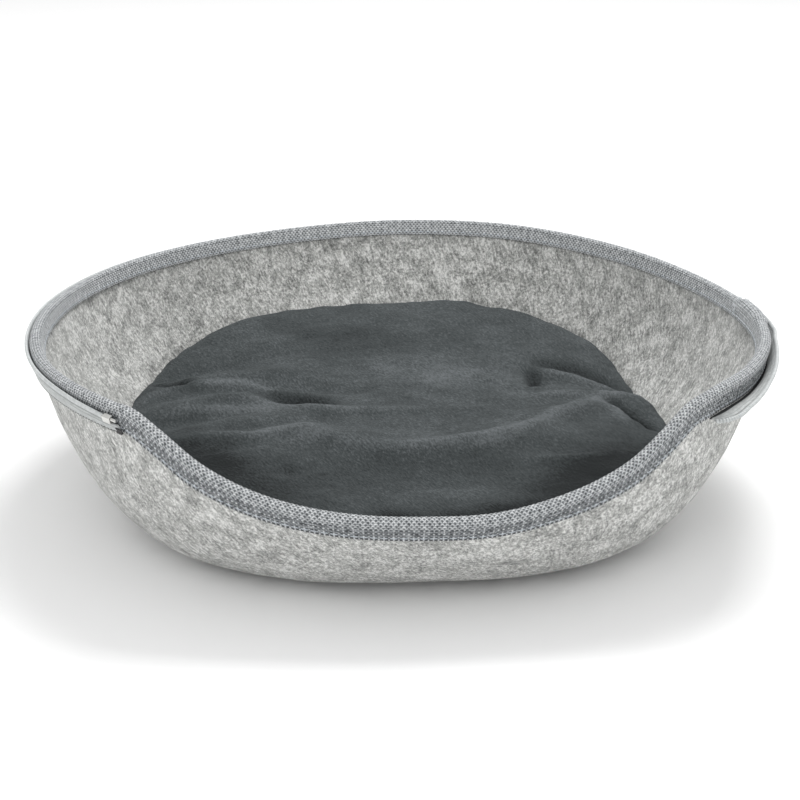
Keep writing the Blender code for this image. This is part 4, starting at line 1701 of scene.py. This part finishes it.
# ---- cushion ----------------------------------------------------------------
@dataclass
class Cushion:
    """The filled plush cushion, slack and crumpled, lying in the bowl."""

    form: BowlForm
    voxel: float = 5.0 * MM
    shrink: float = 1.6 * MM
    held_below: float = 12.0 * MM
    frames: int = 20
    most_move: float = 3.0 * MM
    evening_rounds: int = 8
    side_share: float = 0.15
    wall_gap: float = 0.6 * MM
    floor_gap: float = 0.3 * MM
    full_height: float = 75.0 * MM
    fill: float = 0.55
    rumple: Waves = Waves(0.55 * MM, 0.030, 31, 18)
    rumple_stretch: Triple = (1.0, 1.6, 1.0)
    pucker: Waves = Waves(0.22 * MM, 0.011, 32, 24)
    top_facing: tuple[float, float] = (0.15, 0.6)
    top_height: tuple[float, float] = (20.0 * MM, 32.0 * MM)
    # how the folds' painted light and shade are laid: width, cap, strength a mm of fold, facing,
    # swing
    painted_light_width: float = 0.85
    painted_light_most: float = 0.72
    painted_light_fold: float = 4.0
    painted_light_facing: tuple[float, float] = (-0.2, 0.3)
    painted_light_swing: float = 0.32
    filling: dict[str, object] = field(default_factory=lambda: {
        "quality": 6, "mass": 0.25, "use_pressure": True, "uniform_pressure_force": 4.0,
        "shrink_min": -0.008, "bending_stiffness": 0.4, "tension_stiffness": 12.0,
        "compression_stiffness": 12.0})
    folds: dict[str, Fold] = field(default_factory=lambda: {
        "crest_left": Fold(((-142, -57), (-103, -66), (-86, -66), (-63, -58), (-50, -62)),
                           6.5, 3.6),
        "painted_crest_light": Fold(((-58, -55), (-45, -75), (-21, -90), (5, -94), (35, -86), (66, -70),
                       (92, -38), (112, -10), (128, 22), (138, 42)), 8.0, 3.6),
        "ridge_left_back": Fold(((-174, 27), (-141, 31), (-111, 36), (-92, 30), (-77, 10),
                                 (-58, 4)), 5.5, 3.8),
        "trough_lip": Fold(((-106, 8), (-87, -7), (-71, -20), (-48, -30), (-17, -24), (14, -22)),
                           6.5, 2.6),
        "trough_left": Fold(((-94, 14), (-76, 3), (-60, -6), (-40, -14)), 8.0, -6.5),
        "ridge_left_middle": Fold(((-160, -12), (-128, -10), (-97, -14), (-70, -30)), 6.0, 2.4),
        "pinch_left": Fold(((-160, 62), (-148, 45), (-136, 38)), 5.5, -7.0),
        "shoulder_left": Fold(((-103, 103), (-88, 107), (-70, 113)), 5.0, 1.5),
        "pinch_right": Fold(((86, 66), (87, 50), (87, 28)), 4.5, -5.5),
        "ridge_right_back": Fold(((89, 63), (103, 64), (119, 60), (133, 52), (146, 50)), 5.0, 3.2),
        "ridge_right_low": Fold(((84, 12), (104, 17), (120, 23)), 5.0, 2.4),
        "trough_right": Fold(((86, 76), (111, 80), (133, 76), (150, 64)), 7.0, -4.0),
        "ridge_right_end": Fold(((128, 22), (140, 38), (152, 50), (164, 30)), 6.0, 2.6),
        "crease_right": Fold(((136, 24), (146, 8), (154, -10), (160, -28)), 5.5, -9.0),
        "ridge_right_front": Fold(((130, 16), (137, -4), (141, -34)), 6.0, 2.4),
        "front_right": Fold(((30, -96), (50, -89), (68, -80)), 4.5, 1.8),
        "front_far_right": Fold(((62, -98), (88, -97), (114, -90), (132, -78)), 4.5, 1.8),
        "dimple_front": Fold(((-68, -104), (-62, -120)), 5.0, -1.6),
    })
    # patches of painted shade and painted light, laid with the pile's brushing
    brushed: tuple[NapAndPaintedLightPatch, ...] = (
        NapAndPaintedLightPatch(-120, -88, 38, 22, -52, -0.50), NapAndPaintedLightPatch(-84, -138, 62, 20, -46, -0.28),
        NapAndPaintedLightPatch(116, -108, 78, 25, 50, -0.56), NapAndPaintedLightPatch(-6, -174, 16, 9, 0, -0.45),
        NapAndPaintedLightPatch(60, -170, 52, 12, 10, -0.42), NapAndPaintedLightPatch(52, -133, 30, 15, 18, 0.16),
        NapAndPaintedLightPatch(-54, -4, 24, 10, -34, -0.34), NapAndPaintedLightPatch(120, 76, 34, 10, -12, -0.22),
        NapAndPaintedLightPatch(150, 2, 22, 7, -62, -0.6), NapAndPaintedLightPatch(-26, 108, 42, 28, 0, -0.20),
        NapAndPaintedLightPatch(42, 48, 60, 36, 0, 0.14), NapAndPaintedLightPatch(-147, 45, 20, 7, -50, -0.5),
        NapAndPaintedLightPatch(0, -124, 150, 36, 0, -0.12), NapAndPaintedLightPatch(87, 48, 6, 18, 0, -0.38),
        NapAndPaintedLightPatch(-130, -38, 30, 9, 0, 0.05),
    )

    def build(self) -> bpy.types.Object:
        """Copy the plain solid, puff it out, and lay its folds."""
        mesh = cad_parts["cushion"].data.copy()
        mesh.name = "plush_cushion"
        mesh.materials.clear()
        item = make_object("plush_cushion", mesh)
        with open_mesh(mesh) as bm:
            bmesh.ops.remove_doubles(bm, verts=bm.verts, dist=1e-6)
        even = item.modifiers.new("even", "REMESH")
        even.mode = "VOXEL"
        even.voxel_size = self.voxel
        even.use_smooth_shade = True
        apply_modifier(item, even)
        rest = points_of(item.data)
        puffed = self.puffed(item, rest)
        move_points(item.data, self.inside(puffed))
        finer = item.modifiers.new("finer", "SUBSURF")
        finer.levels = finer.render_levels = 1
        apply_modifier(item, finer)
        self.fold(item.data)
        item.data.shade_smooth()
        return item

    def puffed(self, item: bpy.types.Object, rest: Array) -> Array:
        """Swell a slightly smaller cushion under pressure.

        Args:
            item: the cushion; its points end at rest.
            rest: its points as the solid has them.

        Returns:
            The swollen points, near those of the solid.
        """
        move_points(item.data, rest - normals_of(item.data) * self.shrink)
        held = item.vertex_groups.new(name="held")
        low = np.nonzero(rest[:, 2] < self.held_below)[0]
        held.add(low.tolist(), 1.0, "REPLACE")
        cloth = item.modifiers.new("cloth", "CLOTH")
        for key, value in self.filling.items():
            setattr(cloth.settings, key, value)
        cloth.settings.vertex_group_mass = held.name
        cloth.settings.effector_weights.gravity = 0.0
        cloth.point_cache.frame_start = 1
        cloth.point_cache.frame_end = self.frames
        for moment in range(1, self.frames + 1):
            bpy.context.scene.frame_set(moment)
        apply_modifier(item, cloth)
        bpy.context.scene.frame_set(1)
        moved = points_of(item.data) - rest
        size = np.maximum(np.linalg.norm(moved, axis=1, keepdims=True), 1e-9)
        moved = self.evened(item.data, moved * np.minimum(1.0, self.most_move / size))
        move_points(item.data, rest)
        level = smooth_step(normals_of(item.data)[:, 2:], 0.35, 0.8)
        return rest + moved * (self.side_share + (1.0 - self.side_share) * level)

    def evened(self, mesh: bpy.types.Mesh, values: Array) -> Array:
        """Values averaged with their neighbours', to take out small creases.

        Args:
            mesh: the mesh whose edges say what is near.
            values: three numbers a point.

        Returns:
            The averaged values.
        """
        edge = np.empty(len(mesh.edges) * 2, dtype=np.int32)
        mesh.edges.foreach_get("vertices", edge)
        first, second = edge.reshape(-1, 2).T
        count = len(mesh.vertices)
        near = np.bincount(first, minlength=count) + np.bincount(second, minlength=count)
        for _ in range(self.evening_rounds):
            total = np.stack([np.bincount(first, values[second, k], count)
                              + np.bincount(second, values[first, k], count)
                              for k in range(3)], -1)
            values = 0.5 * values + 0.5 * total / near[:, None]
        return values

    def inside(self, points: Array) -> Array:
        """The points drawn in to clear the bowl's inner face.

        Args:
            points: one row a point.

        Returns:
            The same points, or places nearer the middle and above the bottom.
        """
        form, floor = self.form, self.form.felt + self.floor_gap
        middle = np.array([*form.middle, 0.0])
        flat = points - middle
        bearing = np.degrees(np.arctan2(flat[:, 0], -flat[:, 1]))
        turn = 3.0
        keys = np.arange(-180.0, 181.0, turn)
        point, _, out = form.wall_frame(keys[:, None], np.linspace(0.0, 1.0, 60)[None, :])
        inner = point - out * (form.felt + self.wall_gap)
        radius = np.linalg.norm((inner - middle)[..., :2], axis=2)
        heights = np.linspace(floor, self.full_height, 48)
        grid = np.array([np.interp(heights, line[:, 2], reach)
                         for line, reach in zip(inner, radius)])
        column = np.clip((bearing + 180.0) / turn, 0, len(keys) - 1.001)
        row = np.clip((points[:, 2] - floor) / (heights[1] - floor), 0, len(heights) - 1.001)
        a, b = column.astype(int), row.astype(int)
        fa, fb = column - a, row - b
        limit = ((1 - fa) * (1 - fb) * grid[a, b] + fa * (1 - fb) * grid[a + 1, b]
                 + (1 - fa) * fb * grid[a, b + 1] + fa * fb * grid[a + 1, b + 1])
        reach = np.linalg.norm(flat[:, :2], axis=1)
        scale = np.minimum(1.0, limit / np.maximum(reach, 1e-6))
        drawn = middle + flat * scale[:, None]
        drawn[:, 2] = np.maximum(points[:, 2], floor)
        return drawn

    def fold(self, mesh: bpy.types.Mesh) -> None:
        """Raise the ridges, press in the troughs, and store painted light and shade for them and
        the patches.

        Args:
            mesh: the cushion's mesh.
        """
        points, normals = points_of(mesh), normals_of(mesh)
        top = (smooth_step(normals[:, 2], *self.top_facing)
               * smooth_step(points[:, 2], *self.top_height))
        rise = np.zeros(len(points))
        nap_and_painted_light = np.zeros(len(points))
        for fold in self.folds.values():
            near, share = beside(points[:, :2] / MM, rounded(fold.path))
            ends = np.sin(math.pi * np.clip(share, 0.0, 1.0)) ** 0.5
            rise += fold.height * MM * np.exp(-(near / fold.width) ** 2) * ends
            # painted light along each ridge, painted shade along each trough
            shade = np.sign(fold.height) * min(self.painted_light_most, abs(fold.height) / self.painted_light_fold)
            nap_and_painted_light += shade * np.exp(-(near / (self.painted_light_width * fold.width)) ** 2) * ends
        fine = (soft_waves(points * self.rumple_stretch, self.rumple)
                + soft_waves(points, self.pucker))
        moved = points + normals * (fine * top)[:, None]
        moved[:, 2] += rise * top
        move_points(mesh, self.inside(moved))
        # the patches add their painted shade and painted light
        for patch in self.brushed:
            turn = math.radians(patch.turn)
            x, y = points[:, 0] / MM - patch.x, points[:, 1] / MM - patch.y
            far = np.hypot((x * math.cos(turn) + y * math.sin(turn)) / patch.long,
                           (y * math.cos(turn) - x * math.sin(turn)) / patch.short)
            nap_and_painted_light += patch.strength / self.painted_light_swing * np.exp(-far**2)
        nap_and_painted_light *= self.painted_light_swing * smooth_step(normals[:, 2], *self.painted_light_facing)
        add_point_value(mesh, "nap_and_painted_light", 0.5 + nap_and_painted_light)

    def dress(self) -> None:
        item = finished(self.build(), PlushFinish().material("plush"), "cushion")


# ---- studio -----------------------------------------------------------------
@dataclass
class Studio:
    """A pale floor, soft light, and the camera where the photographer stood."""

    form: BowlForm
    focal_px: float = 2117.0
    frame_px: float = 800.0
    sensor: float = 36.0
    clip_start: float = 0.02
    distance: float = 1.3238
    elevation: float = 19.18
    aim_x: float = 0.4 * MM
    aim_z: float = 55.0 * MM
    floor_size: float = 60.0
    floor_back: float = 3.0
    lamps: tuple[Lamp, ...] = (Lamp("key", (0.30, 0.80, 1.65), 0.8, 23.0),
                               Lamp("fill", (-0.35, -1.7, 1.2), 1.4, 8.5))
    lamp_target: Triple = (0.0, 0.0, 0.05)
    sky: float = 0.83

    def add(self, name: str, data: bpy.types.ID) -> bpy.types.Object:
        """A new linked object of a camera or a light.

        Args:
            name: the object's name.
            data: the camera or light.

        Returns:
            The object.
        """
        item = bpy.data.objects.new(name, data)
        bpy.context.collection.objects.link(item)
        return item

    def camera(self) -> None:
        """Set the camera at the photograph's angle."""
        tilt = math.radians(self.elevation)
        ahead = Vector((0.0, math.cos(tilt), -math.sin(tilt)))
        target = Vector((self.form.middle[0] + self.aim_x, self.form.middle[1], self.aim_z))
        lens = bpy.data.cameras.new("camera")
        lens.sensor_width = self.sensor
        lens.lens = self.focal_px * self.sensor / self.frame_px
        lens.clip_start = self.clip_start
        item = self.add("camera", lens)
        item.location = target - ahead * self.distance
        item.rotation_euler = (math.radians(90.0) - tilt, 0.0, 0.0)
        bpy.context.scene.camera = item

    def floor(self) -> None:
        """Lay the pale floor."""
        clear_selection()
        bpy.ops.mesh.primitive_plane_add(size=self.floor_size,
                                         location=(0.0, self.floor_back, 0.0))
        item = bpy.context.active_object
        item.name = "floor"
        item.data.materials.append(FloorFinish().material("pale_floor"))

    def light(self, lamp: Lamp) -> None:
        """Add one soft area light that faces the bed.

        Args:
            lamp: its name, place, size and power.
        """
        data = bpy.data.lights.new(lamp.name, "AREA")
        data.shape = "SQUARE"
        data.size = lamp.size
        data.energy = lamp.power
        item = self.add(lamp.name, data)
        item.location = lamp.place
        toward = Vector(self.lamp_target) - Vector(lamp.place)
        item.rotation_euler = toward.to_track_quat("-Z", "Y").to_euler()

    def set_up(self) -> None:
        """Place camera, floor, lights and sky."""
        self.camera()
        self.floor()
        for lamp in self.lamps:
            self.light(lamp)
        world = bpy.data.worlds.new("studio")
        world.use_nodes = True
        sky = world.node_tree.nodes["Background"]
        sky.inputs["Color"].default_value = (1.0, 1.0, 1.0, 1.0)
        sky.inputs["Strength"].default_value = self.sky
        bpy.context.scene.world = world
        bpy.context.scene.view_settings.view_transform = "Standard"


def main() -> None:
    """Set the studio and dress every piece of the bed; the log gives face counts and the webbing's
    length.
    """
    logging.basicConfig(level=logging.INFO, format="%(message)s")
    form = BowlForm()
    Studio(form).set_up()
    FeltShell(form).dress()
    binding = RimBinding(form)
    binding.dress()
    HalfZip(form, binding).dress()
    Cushion(form).dress()


if __name__ == "__main__":
    main()
